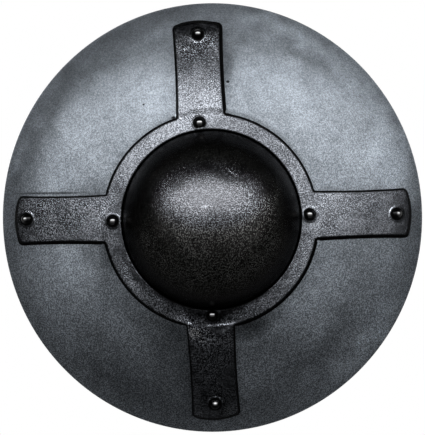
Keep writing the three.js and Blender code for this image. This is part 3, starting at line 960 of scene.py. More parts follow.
def faceDrop(rho):
    # how far the front face lies behind the seat, and its slope, at a distance from the middle
    rho = np.asarray(rho, float)
    drop = np.zeros_like(rho)
    slope = np.zeros_like(rho)
    for start, startDrop, radius, low, high in arcs:
        sine = np.clip(math.sin(low) + (rho - start) / radius, -1, math.sin(high))
        here = np.arcsin(sine)
        inside = rho > start
        drop = np.where(inside, startDrop + radius * (math.cos(low) - np.cos(here)), drop)
        slope = np.where(inside, here, slope)
    beyond = np.maximum(rho - rollEnd, 0)
    return drop + beyond * math.tan(rimSlope), slope


def fromDishMiddle(x, z):
    return np.hypot((x - dishX) / ovalX, (z - dishZ) / ovalZ)


def dents(x, z):
    # rises forwards by a fraction of a millimetre here and there; none at the seat and the rim
    rho = fromDishMiddle(x, z)
    share = np.clip((rho - dish["seat"]) / dish["dentStart"], 0, 1)
    share = share * np.clip((rimRadius - rho) / dish["dentEnd"], 0, 1)
    small = waver(x, z, dish["dentSize"] / dish["smallDentTimes"], dish["smallDentSeed"])
    slow = waver(x, z, dish["dentSize"], dish["dentSeed"]) + dish["smallDentShare"] * small
    return slow * dish["dentDepth"] * share


def frontFace(x, z):
    # y of the dish's front face over x and z, and the slope there
    drop, slope = faceDrop(fromDishMiddle(x, z))
    return seatFace + drop - dents(x, z), slope


def dishRing(angles, rho, y=None):
    # a circle about the boss near the opening, an oval about the dish further out
    share = min(max((rho - dish["opening"]) / (dish["seat"] - dish["opening"]), 0), 1)
    x = fistX + (dishX - fistX) * share + rho * (1 + (ovalX - 1) * share) * np.cos(angles)
    z = fistZ + (dishZ - fistZ) * share + rho * (1 + (ovalZ - 1) * share) * np.sin(angles)
    if y is None:
        y = frontFace(x, z)[0]
    return np.stack([x, np.broadcast_to(y, x.shape), z], axis=1)


def makeDish():
    segments, steps = dish["segments"], dish["seatSteps"]
    angles = 2 * np.pi * np.arange(segments) / segments
    rhos = [dish["opening"] + (dish["seat"] - dish["opening"]) * i / steps for i in range(steps + 1)]
    count = round((rimRadius - dish["seat"]) / dish["ringStep"])
    rhos += [dish["seat"] + (rollEnd - dish["seat"]) * i / count for i in range(1, count + 1)]
    front = [dishRing(angles, rho) for rho in rhos]
    # the back face, square to the front one by the sheet's thickness
    back = []
    for rho, ring in zip(rhos, front):
        slope = float(faceDrop(rho)[1])
        shift = dish["sheet"] * math.sin(slope)
        moved = ring.copy()
        moved[:, 0] -= shift * np.cos(angles)
        moved[:, 2] -= shift * np.sin(angles)
        moved[:, 1] += dish["sheet"] * math.cos(slope)
        moved[:, 1] = np.minimum(moved[:, 1], rimPlane - dish["backGap"])
        back.append(moved)
    # the cut edge of the rim, eased on both sides
    soft = dish["edgeSoft"]
    edge = [
        dishRing(angles, rimRadius - dish["edgeDraw"] * soft, rimPlane - soft),
        dishRing(angles, rimRadius - soft, rimPlane),
        dishRing(angles, rimRadius - dish["edgeWidth"] + soft, rimPlane),
    ]
    rings = front + edge + back[::-1]
    points = np.concatenate(rings)
    faces = bandFaces(len(rings), segments, loop=True)
    piece = makePiece("dishSheet", points, faces, "dish_steel", ["dish"])
    # dirt and painted shade on the dish, fading away from the plate's edges
    away = distanceToLoop(points[:, (0, 2)] - (bossX, bossZ), plateOutline()[0])
    seen = np.arange(len(points)) < len(front) * segments  # the marks are on the front only
    setValues(piece, "grimeAndShade", dish["grimeAndShadeNear"] * np.exp(-away / dish["grimeAndShadeReach"]) * seen)
    tone = toneFrom(dish["marks"], points[:, 0] - dishX, points[:, 2] - dishZ)
    setValues(piece, "tone", np.where(seen, tone, 1.0))
    # the grain's contrast and its painted glints grow towards the bottom
    down = np.clip(0.5 - (points[:, 2] - dishZ) / dish["gritSpan"], 0, 1)
    setValues(piece, "gritAndGlints", dish["gritAndGlints"][0] + (dish["gritAndGlints"][1] - dish["gritAndGlints"][0]) * down)


# Boss
def bossWear(x, z):
    # tone, painted light and shade with some wear, and the grain's contrast with its painted glints, over
    # the boss, from distances to its middle in mm
    away = np.hypot(x, z)
    # painted shade towards the foot, eased off again at the very foot
    share = (away - boss["shadeFrom"]) / (boss["shadeTo"] - boss["shadeFrom"])
    tone = 1 + (boss["inShade"] - 1) * eased(share)
    atFoot = np.clip((away - boss["footFrom"]) / boss["footFade"], 0, 1)
    tone = tone + (boss["footLight"] - tone) * atFoot
    tone = tone * toneFrom(boss["marks"], x * mm, z * mm)
    rubX = (x - boss["rubMiddle"][0]) / boss["rubReach"][0]
    rubZ = (z - boss["rubMiddle"][1]) / boss["rubReach"][1]
    rubbedAndLit = np.exp(-(rubX ** 2 + rubZ ** 2) ** boss["rubFade"])
    return tone, boss["gritAndGlints"][1] + (boss["gritAndGlints"][0] - boss["gritAndGlints"][1]) * rubbedAndLit


def bossFace(offset, flangeFace):
    # a face of the boss's sheet from its crown to the flange, at an offset from the front one
    ball = (boss["radius"] ** 2 + boss["height"] ** 2) / (2 * boss["height"])
    ballMiddle = boss["height"] - ball
    filletRadius = boss["fillet"] - offset
    filletHeight = flangeFace + boss["fillet"]
    reach = ball + boss["fillet"]
    filletRho = math.sqrt(reach ** 2 - (filletHeight - ballMiddle) ** 2)
    wall = math.asin(filletRho / reach)
    profile = []
    for i in range(boss["steps"] + 1):
        angle = wall * i / boss["steps"]
        profile.append(((ball + offset) * math.sin(angle), ballMiddle + (ball + offset) * math.cos(angle)))
    for i in range(1, boss["filletSteps"] + 1):
        angle = wall * (1 - i / boss["filletSteps"])
        profile.append((filletRho - filletRadius * math.sin(angle),
                        filletHeight - filletRadius * math.cos(angle)))
    return profile


def makeBoss():
    flangeFace = -(bossHigh.y - boss["sheet"] - seatFace)
    flangeBack = flangeFace - boss["sheet"]
    outside = bossFace(0.0, flangeFace)
    inside = bossFace(-boss["sheet"], flangeFace)
    flange = rounded([outside[-1], (boss["flangeRadius"], flangeFace),
                      (boss["flangeRadius"], flangeBack), inside[-1]], boss["flangeSoft"])
    points, faces = turnedMesh(outside + flange[1:-1] + inside[::-1], boss["segments"])
    placed = setOnAxis(points, np.array([fistX, seatFace, fistZ]), np.array([0.0, -1.0, 0.0]))
    # a hammered ball is never quite even; its foot and flange stay true
    even, fade = boss["evenFoot"]
    rise = np.clip((seatFace - even - placed[:, 1]) / fade, 0, 1)
    lumps = waver(placed[:, 0], placed[:, 2], boss["dentSize"], boss["dentSeed"])
    placed[:, 1] -= lumps * boss["dentDepth"] * rise
    piece = makePiece("bossDome", placed, faces, "boss_black", ["boss"])
    tone, gritAndGlints = bossWear((placed[:, 0] - fistX) / mm, (placed[:, 2] - fistZ) / mm)
    setValues(piece, "tone", tone)
    setValues(piece, "gritAndGlints", gritAndGlints)


makeBoss()
print("boss raised")


# Cross plate: one sheet, a ring round the boss with four arms, pressed down onto the dish
plate = {
    "gap": 0.3 * mm,
    "sheet": 1.6 * mm,
    "opening": 75.4 * mm,
    "openingSegments": 396,
    "ring": 89.4 * mm,
    "armWidth": 39.4 * mm,
    "armWaist": 37.8 * mm,  # its width halfway out
    "rootFillet": 1.9 * mm,
    "tipArc": 52 * mm,
    "tipCorner": 2.6 * mm,
    "tipBorder": 11.5 * mm,  # from a tip to the rim, times the arm's own border
    "ringTilt": 12 * degree,  # how steeply the ring rises towards the boss
    "outlineStep": 1.2 * mm,
    "filletSteps": 4,
    "cornerSteps": 5,
    "sideSteps": 4,  # at least
    "gridStep": 1.9 * mm,
    "edgeSoft": 1.0 * mm,
    # its edge, from the far side of the black line inwards: shares of the line's width and of edgeSoft,
    # height as a share of the plate's, and how black it is. The black line is dirt and painted shade in
    # the seam with the dish.
    "edgeSteps": [(-1, 0, 0.0, 1.0), (-0.5, 0, 0.12, 1.0), (0, 0, 0.5, 1.0), (0, 0.45, 0.86, 1.0),
                  (0, 1, 1.0, 0.75), (0, 1.8, 1.0, 0.0)],
    # the same for the opening, without the line, its black being painted shade in the gap by the boss, and
    # how black the boss's painted shadow low down is
    "openingSteps": [(0.0, 0.5, 0.3, 1.0), (0.15, 0.85, 0.0, 1.0), (0.4, 1.0, 0.0, 1.0),
                     (1.2, 1.0, 0.0, 0.6)],
    "shadowFrom": 0.7,  # how low down it starts, as a share of the opening's radius
    "shadowFade": 0.12,
    "backLift": 0.05 * mm,  # how far its back clears the dish
    "slack": 0.01 * mm,  # what still counts as at the opening
    "rivetRings": (2.4, 3.6, 4.6, 5.2, 5.6, 6.0, 6.4, 6.8, 7.2, 7.6),  # mm round each rivet
    "rivetPoints": 36,
    "rivetShade": 6.1,  # mm round each rivet where the painted shade about its head ends
    "rivetShadeFade": 0.6,
    "moundRadius": 7.3 * mm,
    "moundFlank": 1.6 * mm,
    "moundHeight": 0.6 * mm,
    # painted highlights: bright arcs beside rivets, each with its direction in degrees and its stops
    "glints": {
        "outer_top": (270, 1.5),
        "outer_left": (30, 1.4),
        "outer_right": (165, 1.5),
        "outer_bottom": (90, 1.5),
        "inner_left": (40, 1.2),
        "inner_bottom": (90, 3.0),
    },
    "glintRadius": 6.7,  # mm
    "glintWidth": 0.55,
    "glintEnds": (0.2, 0.5),  # cosine where a glint ends, and how much more it takes to be whole
    "gritAndGlints": 1.0,
    "grooveMost": 9.0,  # mm, the widest black line, and the widest in the corners by the ring
    "cornerGroove": 1.3,
    "cornerPoints": 6,
    "grooveEasing": 3,  # points to either side over which the line's width changes
    # Each arm's angle, sideways drift and border as in the solids. Grooves are the widths, in
    # millimetres, of the black line beyond its first side, its tip, its second side and the stretch of
    # ring that follows it, going anticlockwise.
    "arms": {
        "right": {"angle": 1.8, "drift": 0.044, "border": 0.909, "grooves": (2.0, 1.0, 0.8, 1.0)},
        "top": {"angle": 92.7, "drift": 0.1, "border": 1.404, "grooves": (2.2, 1.2, 0.9, 1.0)},
        "left": {"angle": 180.8, "drift": -0.065, "border": 1.023, "grooves": (0.6, 1.0, 1.9, 1.2)},
        "bottom": {"angle": 273.6, "drift": -0.137, "border": 1.002, "grooves": (0.5, 0.7, 0.9, 1.9)},
    },
    # painted light and shade with wear and dirt, in the terms of toneFrom, such as the boss's painted
    # shadow on the lower ring and a painted highlight along the crease
    "marks": [
        (0, 94, 12, 18, 0.3), (0, 80, 12, 6, -0.5), (5, 110, 36, 60, 0.3), (180, 94, 12, 18, 0.5),
        (93, 136, 12, 14, -1.0), (100, 146, 8, 6, -0.3), (93, 165, 12, 9, -1.8), (93, 155, 12, 5, -0.8),
        (93, 98, 14, 18, 0.5), (93, 170.5, 10, 3, -2.0), (108, 83, 16, 9, 0.2), (62, 83, 34, 9, -0.6),
        (166, 83, 10, 9, -0.6), (195, 83, 16, 9, -1.1), (225, 75, 30, 3.5, -2.0),
        (235, 83, 22, 8, -0.3), (255, 77, 26, 6, -0.9), (270, 78, 13, 5, -1.5), (285, 77, 22, 6, -1.3),
        (285, 83, 8, 9, -0.4), (315, 75, 30, 3.5, -2.2), (335, 83, 18, 9, 0.8),
        (180, 130, 12, 30, -0.55), (180, 162, 12, 10, -0.6), (261, 99, 5, 7.5, 2.4),
        (277.5, 88.5, 9, 0.9, 2.6), (273, 125, 14, 40, -1.1), (271, 76, 16, 2.5, -0.8),
        (270, 82, 16, 6, 0.4), (272, 100, 12, 10, 0.6), (280, 104, 8, 14, -0.7),
        (274, 156, 10, 10, -0.5), (0, 104, 12, 16, 0.35), (90, 82, 9, 6, -0.5), (165, 78, 8, 3, -0.6),
        (165, 86, 6, 4, 0.5), (180, 78, 8, 3, -0.6), (285, 85, 6, 4, 0.4), (300, 82, 8, 6, -0.5),
        (315, 86, 12, 4, -0.4), (255, 85, 7, 5, 0.4), (274, 149, 10, 7, -0.8), (180, 148, 10, 8, -0.4),
        (180, 87, 8, 5, 0.75), (270, 86, 4, 3, -1.6), (212, 83, 12, 9, 1.0), (255, 82, 7, 8, 0.6),
        (315, 82, 9, 8, 0.65), (300, 83, 7, 8, 0.5),
    ],
    # how much stronger its grain and the grain's painted glints are in places, in the same terms
    "gritAndGlintMarks": [
        (277, 88.5, 11, 1.7, -3.5), (250, 84, 12, 8, 0.5), (93, 152, 12, 20, 1.5),
        (180, 140, 14, 40, 1.4), (273, 125, 14, 50, 1.4), (263, 97, 12, 16, 1.0), (0, 130, 12, 40, 0.2),
        (218, 83, 34, 14, 1.0), (290, 83, 30, 12, 1.0),
    ],
}
rivetNames = [f"{ring}_{side}" for side in plate["arms"] for ring in ("inner", "outer")]
openingMiddle = np.array([fistX - bossX, fistZ - bossZ])

# Rivets with domed heads in front and peened tails behind, and the roves under the tails. The plate
# needs to know where they are.
rivet = {
    "headRadius": 4.7 * mm,
    "headSlope": 72,  # degrees at its edge
    "headSteps": 14,
    "headEdge": 0.3 * mm,  # height of the edge under the dome
    "underShare": 0.98,  # how wide it is underneath, as a share
    "underHead": 0.45 * mm,  # how far the mound under it lifts the head
    "shank": 2.0 * mm,
    "tailRadius": 3.4 * mm,
    "tailHeight": 1.7 * mm,
    "tailNeck": 0.05 * mm,
    "tailSteps": 8,
    "segments": 40,
    # by how many mm each stands off the solid one, to the right and upwards
    "nudges": {
        "inner_right": (-1.7, 0.0),
        "inner_top": (0.0, -1.7),
        "inner_left": (1.3, -0.3),
        "inner_bottom": (0.2, 2.8),
        "outer_right": (0.5, 0.2),
        "outer_top": (0.0, -0.3),
        "outer_left": (-0.6, 0.0),
        "outer_bottom": (0.0, 0.3),
    },
    # painted highlight: share of the head's radius that it covers, how bright it is, and how far up that
    # spot lies
    "rubbedAndLit": (0.4, 1.0, 0.0),
    "sheenApart": {"inner_bottom": (0.26, 0.8, 0.1), "outer_bottom": (0.06, 1.3, 0.7)},
    "sheenFade": 0.28,
    "inShade": 0.93,  # painted shade: share of the brightness that the rest of the head lacks
}
rove = {
    "radius": 5.6 * mm,
    "bore": 2.1 * mm,
    "soft": 0.35 * mm,
    "segments": 36,
}


def nudgedAxis(kind, name):
    middle, axis, low, high = axisOf(kind + name)
    right, up = rivet["nudges"][name]
    return middle + np.array([right, 0.0, up]) * mm, axis, low, high


rivetAxes = {name: nudgedAxis("rivet_", name) for name in rivetNames}
solidDish = nodes["dish"].data
solidFace = BVHTree.FromPolygons([vertex.co for vertex in solidDish.vertices],
                                 [tuple(face.vertices) for face in solidDish.polygons])


def plateRise(x, z):
    # how far the plate's front lies before the dish's, without the mounds round the rivets
    slope = frontFace(x, z)[1]
    radial = np.hypot(x - bossX, z - bossZ)
    lift = np.clip(plate["ring"] - radial, 0, None) * math.tan(plate["ringTilt"])
    return (plate["gap"] + plate["sheet"]) / np.cos(slope), lift


def rivetSpot(name):
    # where a rivet's axis meets the plate's front
    middle, axis = rivetAxes[name][:2]
    spot = middle.copy()
    for _ in range(4):  # enough to settle
        x, z = spot[:1], spot[2:]
        face = frontFace(x, z)[0] - sum(plateRise(x, z))
        spot = middle + axis * ((face[0] - middle[1]) / axis[1])
    return spot


def setBack(name):
    # how far the dish lies behind the solid one beside a rivet's hole
    spot = rivetSpot(name)
    aside = 5 * mm
    depths = []
    for stepX, stepZ in ((aside, 0), (-aside, 0), (0, aside), (0, -aside)):
        x, z = spot[:1] + stepX, spot[2:] + stepZ
        hit = solidFace.ray_cast(Vector((x[0], -1.0, z[0])), Vector((0.0, 1.0, 0.0)))[0]
        depths.append(float(frontFace(x, z)[0][0]) - hit.y)
    return sum(depths) / len(depths)


def rimReach(angle):
    # from the middle of the boss to the rim, in one direction
    halfWide, halfTall = rimRadius * ovalX, rimRadius * ovalZ
    across, up = math.cos(angle) / halfWide, math.sin(angle) / halfTall
    startX, startZ = (bossX - dishX) / halfWide, (bossZ - dishZ) / halfTall
    square = across ** 2 + up ** 2
    half = across * startX + up * startZ
    return (-half + math.sqrt(half ** 2 - square * (startX ** 2 + startZ ** 2 - 1))) / square


def armSide(arm, sign, step):
    # one side of an arm, from the ring outwards to its tip corner, in the arm's own frame
    half = plate["armWidth"] / 2
    drift = arm["drift"] * plate["armWidth"]
    tip = rimReach(arm["angle"] * degree) - arm["border"] * plate["tipBorder"]
    tipMiddle = tip - plate["tipArc"]
    corner = plate["tipCorner"]
    cornerAngle = math.asin(half / plate["tipArc"])
    softAngle = cornerAngle - corner / plate["tipArc"]
    tipAlong = tipMiddle + plate["tipArc"] * math.cos(cornerAngle)
    fillet = plate["rootFillet"]
    root = math.sqrt((plate["ring"] + fillet) ** 2 - (abs(drift + sign * half) + fillet) ** 2)
    filletSide = drift + sign * (half + fillet)
    touch = math.atan2(filletSide, root)
    ringPoint = np.array([plate["ring"] * math.cos(touch), plate["ring"] * math.sin(touch)])
    start = math.atan2(ringPoint[1] - filletSide, ringPoint[0] - root)
    end = -sign * math.pi / 2
    points = []
    turn = (end - start + math.pi) % (2 * math.pi) - math.pi
    for i in range(plate["filletSteps"] + 1):
        angle = start + turn * i / plate["filletSteps"]
        points.append((root + fillet * math.cos(angle), filletSide + fillet * math.sin(angle)))
    straightEnd = tipAlong - corner
    count = max(int((straightEnd - root) / step), plate["sideSteps"])
    for i in range(1, count + 1):
        share = i / count
        along = root + (straightEnd - root) * share
        pull = plate["armWaist"] - half
        side = half * ((1 - share) ** 2 + share ** 2) + 2 * share * (1 - share) * pull
        points.append((along, drift + sign * side))
    begin = np.array(points[-1])
    peak = np.array([tipAlong, drift + sign * half])
    finish = np.array([tipMiddle + plate["tipArc"] * math.cos(softAngle),
                       drift + sign * plate["tipArc"] * math.sin(softAngle)])
    for i in range(1, plate["cornerSteps"] + 1):
        t = i / plate["cornerSteps"]
        points.append(tuple((1 - t) ** 2 * begin + 2 * t * (1 - t) * peak + t ** 2 * finish))
    return points, touch, (tipMiddle, drift, softAngle)


def armOutline(arm, step):
    # an arm's outline in place, the black line's width and its limit along it, and where it meets the ring
    lower, lowTouch, tip = armSide(arm, -1, step)
    upper, highTouch, tip = armSide(arm, 1, step)
    tipMiddle, drift, softAngle = tip
    count = int(2 * softAngle * plate["tipArc"] / step)
    across = []
    for i in range(1, count):
        angle = -softAngle + 2 * softAngle * i / count
        across.append((tipMiddle + plate["tipArc"] * math.cos(angle),
                       drift + plate["tipArc"] * math.sin(angle)))
    local = np.array(lower + across + upper[::-1])
    low, end, high = arm["grooves"][:3]
    widths = [low] * len(lower) + [end] * len(across) + [high] * len(upper)
    inCorner = [plate["cornerGroove"]] * plate["cornerPoints"]
    limits = inCorner + [plate["grooveMost"]] * (len(local) - 2 * len(inCorner)) + inCorner
    turn = arm["angle"] * degree
    c, s = math.cos(turn), math.sin(turn)
    placed = np.stack([local[:, 0] * c - local[:, 1] * s, local[:, 0] * s + local[:, 1] * c], axis=1)
    return placed, widths, limits, (turn + lowTouch, turn + highTouch)


def plateOutline():
    # the whole outline, anticlockwise as seen from the front, about the middle of the boss, and the
    # black line's width along it
    step = plate["outlineStep"]
    arms = [armOutline(arm, step) for arm in plate["arms"].values()]
    outline, groove, limit = [], [], []
    for k, (arm, (placed, widths, limits, touches)) in enumerate(zip(plate["arms"].values(), arms)):
        outline.extend(placed)
        groove.extend(widths)
        limit.extend(limits)
        start = touches[1]
        span = (arms[(k + 1) % len(arms)][3][0] - start) % (2 * math.pi)
        count = int(span * plate["ring"] / step)
        for i in range(1, count):
            angle = start + span * i / count
            outline.append((plate["ring"] * math.cos(angle), plate["ring"] * math.sin(angle)))
            groove.append(arm["grooves"][3])
            limit.append(plate["grooveMost"])
    easing = plate["grooveEasing"]
    groove = np.array(groove)
    groove = sum(np.roll(groove, shift) for shift in range(-easing, easing + 1)) / (2 * easing + 1)
    return np.array(outline), np.minimum(groove, limit) * mm


def offsetLoop(loop, distance):
    # the same closed loop moved outwards square to itself
    forward = np.roll(loop, -1, axis=0) - np.roll(loop, 1, axis=0)
    forward /= np.linalg.norm(forward, axis=1)[:, None]
    outwards = np.stack([forward[:, 1], -forward[:, 0]], axis=1)
    return loop + outwards * np.reshape(distance, (-1, 1))


def distanceToLoop(points, loop):
    nearest = np.full(len(points), np.inf)
    ends = np.roll(loop, -1, axis=0)
    for start, end in zip(loop, ends):
        side = end - start
        share = np.clip(((points - start) @ side) / (side @ side), 0, 1)
        away = points - (start + share[:, None] * side)
        nearest = np.minimum(nearest, np.hypot(away[:, 0], away[:, 1]))
    return nearest


def insideLoop(points, loop):
    inside = np.zeros(len(points), bool)
    x, z = points[:, 0], points[:, 1]
    ends = np.roll(loop, -1, axis=0)
    for (x1, z1), (x2, z2) in zip(loop, ends):
        if z1 == z2:
            continue
        crosses = ((z1 > z) != (z2 > z)) & (x < (x2 - x1) * (z - z1) / (z2 - z1) + x1)
        inside ^= crosses
    return inside


def fromOpening(points):
    return np.hypot(*(points - openingMiddle).T)


# A short step where the ring's edge was hammered down across the root of the bottom arm
crease = {
    "radius": 87.5,  # mm from the middle of the ring
    "turns": [(256.5, 260.5), (267.5, 284.5)],  # degrees where each stretch starts and ends
    "turnFade": 2,
    "turnStep": 0.55,
    "rows": (-1.4, -0.7, 0.0, 0.7, 1.5, 3.0, 5.0),  # mm outwards
    "shape": (0.0, 0.05, 0.5, 0.95, 1.0, 0.4, 0.0),
    "height": 0.8 * mm,
}


def creasePoints():
    points = []
    first, last = crease["turns"][0][0] - 1, crease["turns"][-1][1] + 1
    for row in crease["rows"]:
        reach = (crease["radius"] + row) * mm
        for turn in np.arange(first, last, crease["turnStep"]):
            points.append((reach * math.cos(turn * degree), reach * math.sin(turn * degree)))
    return np.array(points)


def creaseRise(points):
    turn = np.arctan2(points[:, 1], points[:, 0]) / degree % 360
    fade = crease["turnFade"]
    share = sum(np.clip((turn - first) / fade, 0, 1) * np.clip((last - turn) / fade, 0, 1)
                for first, last in crease["turns"])
    across = np.hypot(points[:, 0], points[:, 1]) / mm - crease["radius"]
    return crease["height"] * share * np.interp(across, crease["rows"], crease["shape"])


# The plate is a net of points as seen from the front, each with its height as a share of the plate's
# and how black it is, and with the edges that have to stay
def addPoints(net, points, height, dark):
    net["flat"].extend(points)
    net["height"].extend([height] * len(points))
    net["dark"].extend(np.broadcast_to(dark, len(points)))


def addLoop(net, loop, height, dark):
    first, count = len(net["flat"]), len(loop)
    addPoints(net, loop, height, dark)
    net["edges"].extend((first + i, first + (i + 1) % count) for i in range(count))


def addBorders(net, outline, groove):
    soft = plate["edgeSoft"]
    for ofGroove, ofSoft, height, dark in plate["edgeSteps"]:
        addLoop(net, offsetLoop(outline, -(ofGroove * groove + ofSoft * soft)), height, dark)
    circle = 2 * np.pi * np.arange(plate["openingSegments"]) / plate["openingSegments"]
    around = np.stack([np.cos(circle), np.sin(circle)], axis=1)
    # the boss's painted shadow, low down round the opening
    low = np.clip((-np.sin(circle) - plate["shadowFrom"]) / plate["shadowFade"], 0, 1)
    for ofSoft, height, dark, bossShadow in plate["openingSteps"]:
        loop = around * (plate["opening"] + ofSoft * soft) + openingMiddle
        addLoop(net, loop, height, np.maximum(dark, bossShadow * low))


# How far the points inside the plate stay off its borders, its opening, the rivets and the crease
clearance = {
    "ringBorder": 2.2 * mm,
    "ringOpening": 1.7 * mm,
    "creaseBorder": 2.2 * mm,
    "creaseRivet": 8.0 * mm,
    "gridBorder": 2.6 * mm,
    "gridOpening": 2.2 * mm,
    "gridRivet": 8.3 * mm,
    "gridCrease": 1.1 * mm,
}


def addRivetRings(net, outline, spots):
    small = 2 * np.pi * np.arange(plate["rivetPoints"]) / plate["rivetPoints"]
    around = np.stack([np.cos(small), np.sin(small)], axis=1)
    for spot in spots:
        for radius in plate["rivetRings"]:
            ring = np.array(spot) + radius * mm * around
            clear = distanceToLoop(ring, outline) > clearance["ringBorder"]
            clear &= fromOpening(ring) > plate["opening"] + clearance["ringOpening"]
            # painted shade round each rivet's head
            dark = float(np.clip((plate["rivetShade"] - radius) / plate["rivetShadeFade"], 0, 1))
            addPoints(net, ring[clear], 1.0, dark)


def addCrease(net, outline, spots):
    points = creasePoints()
    points = points[insideLoop(points, outline)]
    points = points[distanceToLoop(points, outline) > clearance["creaseBorder"]]
    for spot in spots:
        points = points[np.hypot(*(points - spot).T) > clearance["creaseRivet"]]
    addPoints(net, points, 1.0, 0.0)
    return points


def addGrid(net, outline, spots, creased):
    step = plate["gridStep"]
    xs = np.arange(-rimRadius, rimRadius, step)
    zs = np.arange(-rimRadius, rimRadius, step * math.sqrt(3) / 2)
    gridX, gridZ = np.meshgrid(xs, zs)
    gridX = gridX + (np.arange(len(zs)) % 2 * step / 2)[:, None]
    grid = np.stack([gridX.ravel(), gridZ.ravel()], axis=1)
    grid = grid[fromOpening(grid) > plate["opening"] + clearance["gridOpening"]]
    grid = grid[insideLoop(grid, outline)]
    grid = grid[distanceToLoop(grid, outline) > clearance["gridBorder"]]
    for spot in spots:
        grid = grid[np.hypot(*(grid - spot).T) > clearance["gridRivet"]]
    near = np.array([np.hypot(*(creased - point).T).min() for point in grid])
    addPoints(net, grid[near > clearance["gridCrease"]], 1.0, 0.0)


def netMesh(net, border):
    # the net's points, where each comes from in it, and its triangles between border and opening
    made = delaunay_2d_cdt([Vector(point) for point in net["flat"]], net["edges"], [], 0, tiny)
    points = np.array([tuple(point) for point in made[0]])
    origin = np.array([source[0] for source in made[3]])
    triangles = np.array([face for face in made[2] if len(face) == 3])
    centres = points[triangles].mean(axis=1)
    keep = insideLoop(centres, border) & (fromOpening(centres) > plate["opening"] - plate["slack"])
    return points, origin, triangles[keep]


def sheetFaces(triangles, shift):
    # front and back of a sheet, the back's points coming after the front's, and walls where they end
    faces = [tuple(int(i) for i in t) for t in triangles]
    faces += [tuple(int(i) + shift for i in t[::-1]) for t in triangles]
    count = {}
    for t in triangles:
        for a, b in ((t[0], t[1]), (t[1], t[2]), (t[2], t[0])):
            key = (min(a, b), max(a, b))
            count[key] = count.get(key, 0) + 1
    for (a, b), times in count.items():
        if times == 1:
            faces.append((int(a), int(b), int(b) + shift, int(a) + shift))
    return faces


def moundRise(points, spots):
    rise = np.zeros(len(points))
    for spot in spots:
        away = np.hypot(*(points - spot).T)
        rise += plate["moundHeight"] * eased((plate["moundRadius"] - away) / plate["moundFlank"])
    return rise


def glintTone(points, spots):
    tone = np.ones(len(points))
    ends, whole = plate["glintEnds"]
    for name, spot in zip(rivetNames, spots):
        if name not in plate["glints"]:
            continue
        turn, stops = plate["glints"][name]
        right, up = (points - spot).T
        away = np.maximum(np.hypot(right, up), tiny)
        facing = (right * math.cos(turn * degree) + up * math.sin(turn * degree)) / away
        across = (away / mm - plate["glintRadius"]) / plate["glintWidth"]
        tone *= 2 ** (stops * np.clip((facing - ends) / whole, 0, 1) * np.exp(-across ** 2))
    return tone


def makePlate():
    outline, groove = plateOutline()
    rivetPoints = [rivetSpot(name) for name in rivetNames]
    spots = [(spot[0] - bossX, spot[2] - bossZ) for spot in rivetPoints]
    net = {"flat": [], "height": [], "dark": [], "edges": []}
    addBorders(net, outline, groove)
    addRivetRings(net, outline, spots)
    addGrid(net, outline, spots, addCrease(net, outline, spots))
    made, origin, triangles = netMesh(net, offsetLoop(outline, groove))
    height = np.array(net["height"])[origin]
    dark = np.array(net["dark"])[origin]

    x = made[:, 0] + bossX
    z = made[:, 1] + bossZ
    base = frontFace(x, z)[0]
    thickness, lift = plateRise(x, z)
    rise = thickness * height + lift + moundRise(made, spots) + creaseRise(made) * height
    front = np.stack([x, base - rise, z], axis=1)
    back = np.stack([x, base - plate["backLift"], z], axis=1)
    atOpening = fromOpening(made) < plate["opening"] + plate["slack"]
    back[atOpening, 1] = base[atOpening] - plate["gap"]
    points = np.concatenate([front, back])
    faces = sheetFaces(triangles, len(front))
    piece = makePiece("crossPlate", points, faces, "plate_dark", ["cross_plate"], sharp=60)
    setValues(piece, "edge", np.concatenate([dark, dark]))
    right, up = points[:, 0] - bossX, points[:, 2] - bossZ
    tone = toneFrom(plate["marks"], right, up) * glintTone(np.concatenate([made, made]), spots)
    setValues(piece, "tone", tone)
    setValues(piece, "gritAndGlints", plate["gritAndGlints"] * toneFrom(plate["gritAndGlintMarks"], right, up))


makeDish()
print("dish raised")
makePlate()
print("cross plate pressed")


def headProfile():
    # a dome that gets evenly steeper outwards: distances from the axis and drops from the crown
    radius, steps = rivet["headRadius"], rivet["headSteps"]
    points, drop = [(0.0, 0.0)], 0.0
    for i in range(steps):
        drop += math.tan(rivet["headSlope"] * degree * (i + 0.5) / steps) * radius / steps
        points.append((radius * (i + 1) / steps, drop))
    return points


def makeRivet(name):
    # the rivet's middle and axis are the solid one's, set back as far as the dish lies behind there
    middle, axis, low, high = rivetAxes[name]
    if name.startswith("outer"):
        middle = middle - axis * setBack(name) * abs(axis[1])
    dome = headProfile()
    headHeight = dome[-1][1]
    crown = float((rivetSpot(name) - middle) @ axis) + headHeight + rivet["underHead"]
    under = crown - headHeight - rivet["headEdge"]
    neck = low + rivet["tailHeight"] + rivet["tailNeck"]
    profile = [(radius, crown - drop) for radius, drop in dome]
    profile += [(rivet["headRadius"] * rivet["underShare"], under), (rivet["shank"], under)]
    profile.append((rivet["shank"], neck))
    for i in range(rivet["tailSteps"] + 1):
        angle = math.pi / 2 * (1 - i / rivet["tailSteps"])
        along = low + rivet["tailHeight"] * (1 - math.cos(angle))
        profile.append((rivet["tailRadius"] * math.sin(angle), along))
    points, faces = turnedMesh(profile, rivet["segments"])
    placed = setOnAxis(points, middle, axis)
    piece = makePiece("rivetBody_" + name, placed, faces, "rivet_black", ["rivet_" + name])
    # a painted highlight on the head and painted shade over the rest of it
    bright, level, up = rivet["sheenApart"].get(name, rivet["rubbedAndLit"])
    spot = middle + crown * axis + np.array([0.0, 0.0, up * rivet["headRadius"]])
    across = np.hypot(placed[:, 0] - spot[0], placed[:, 2] - spot[2]) / rivet["headRadius"]
    share = np.clip((across - bright) / rivet["sheenFade"], 0, 1)
    setValues(piece, "tone", level * (1 - rivet["inShade"] * share))
    return middle - rivetAxes[name][0]


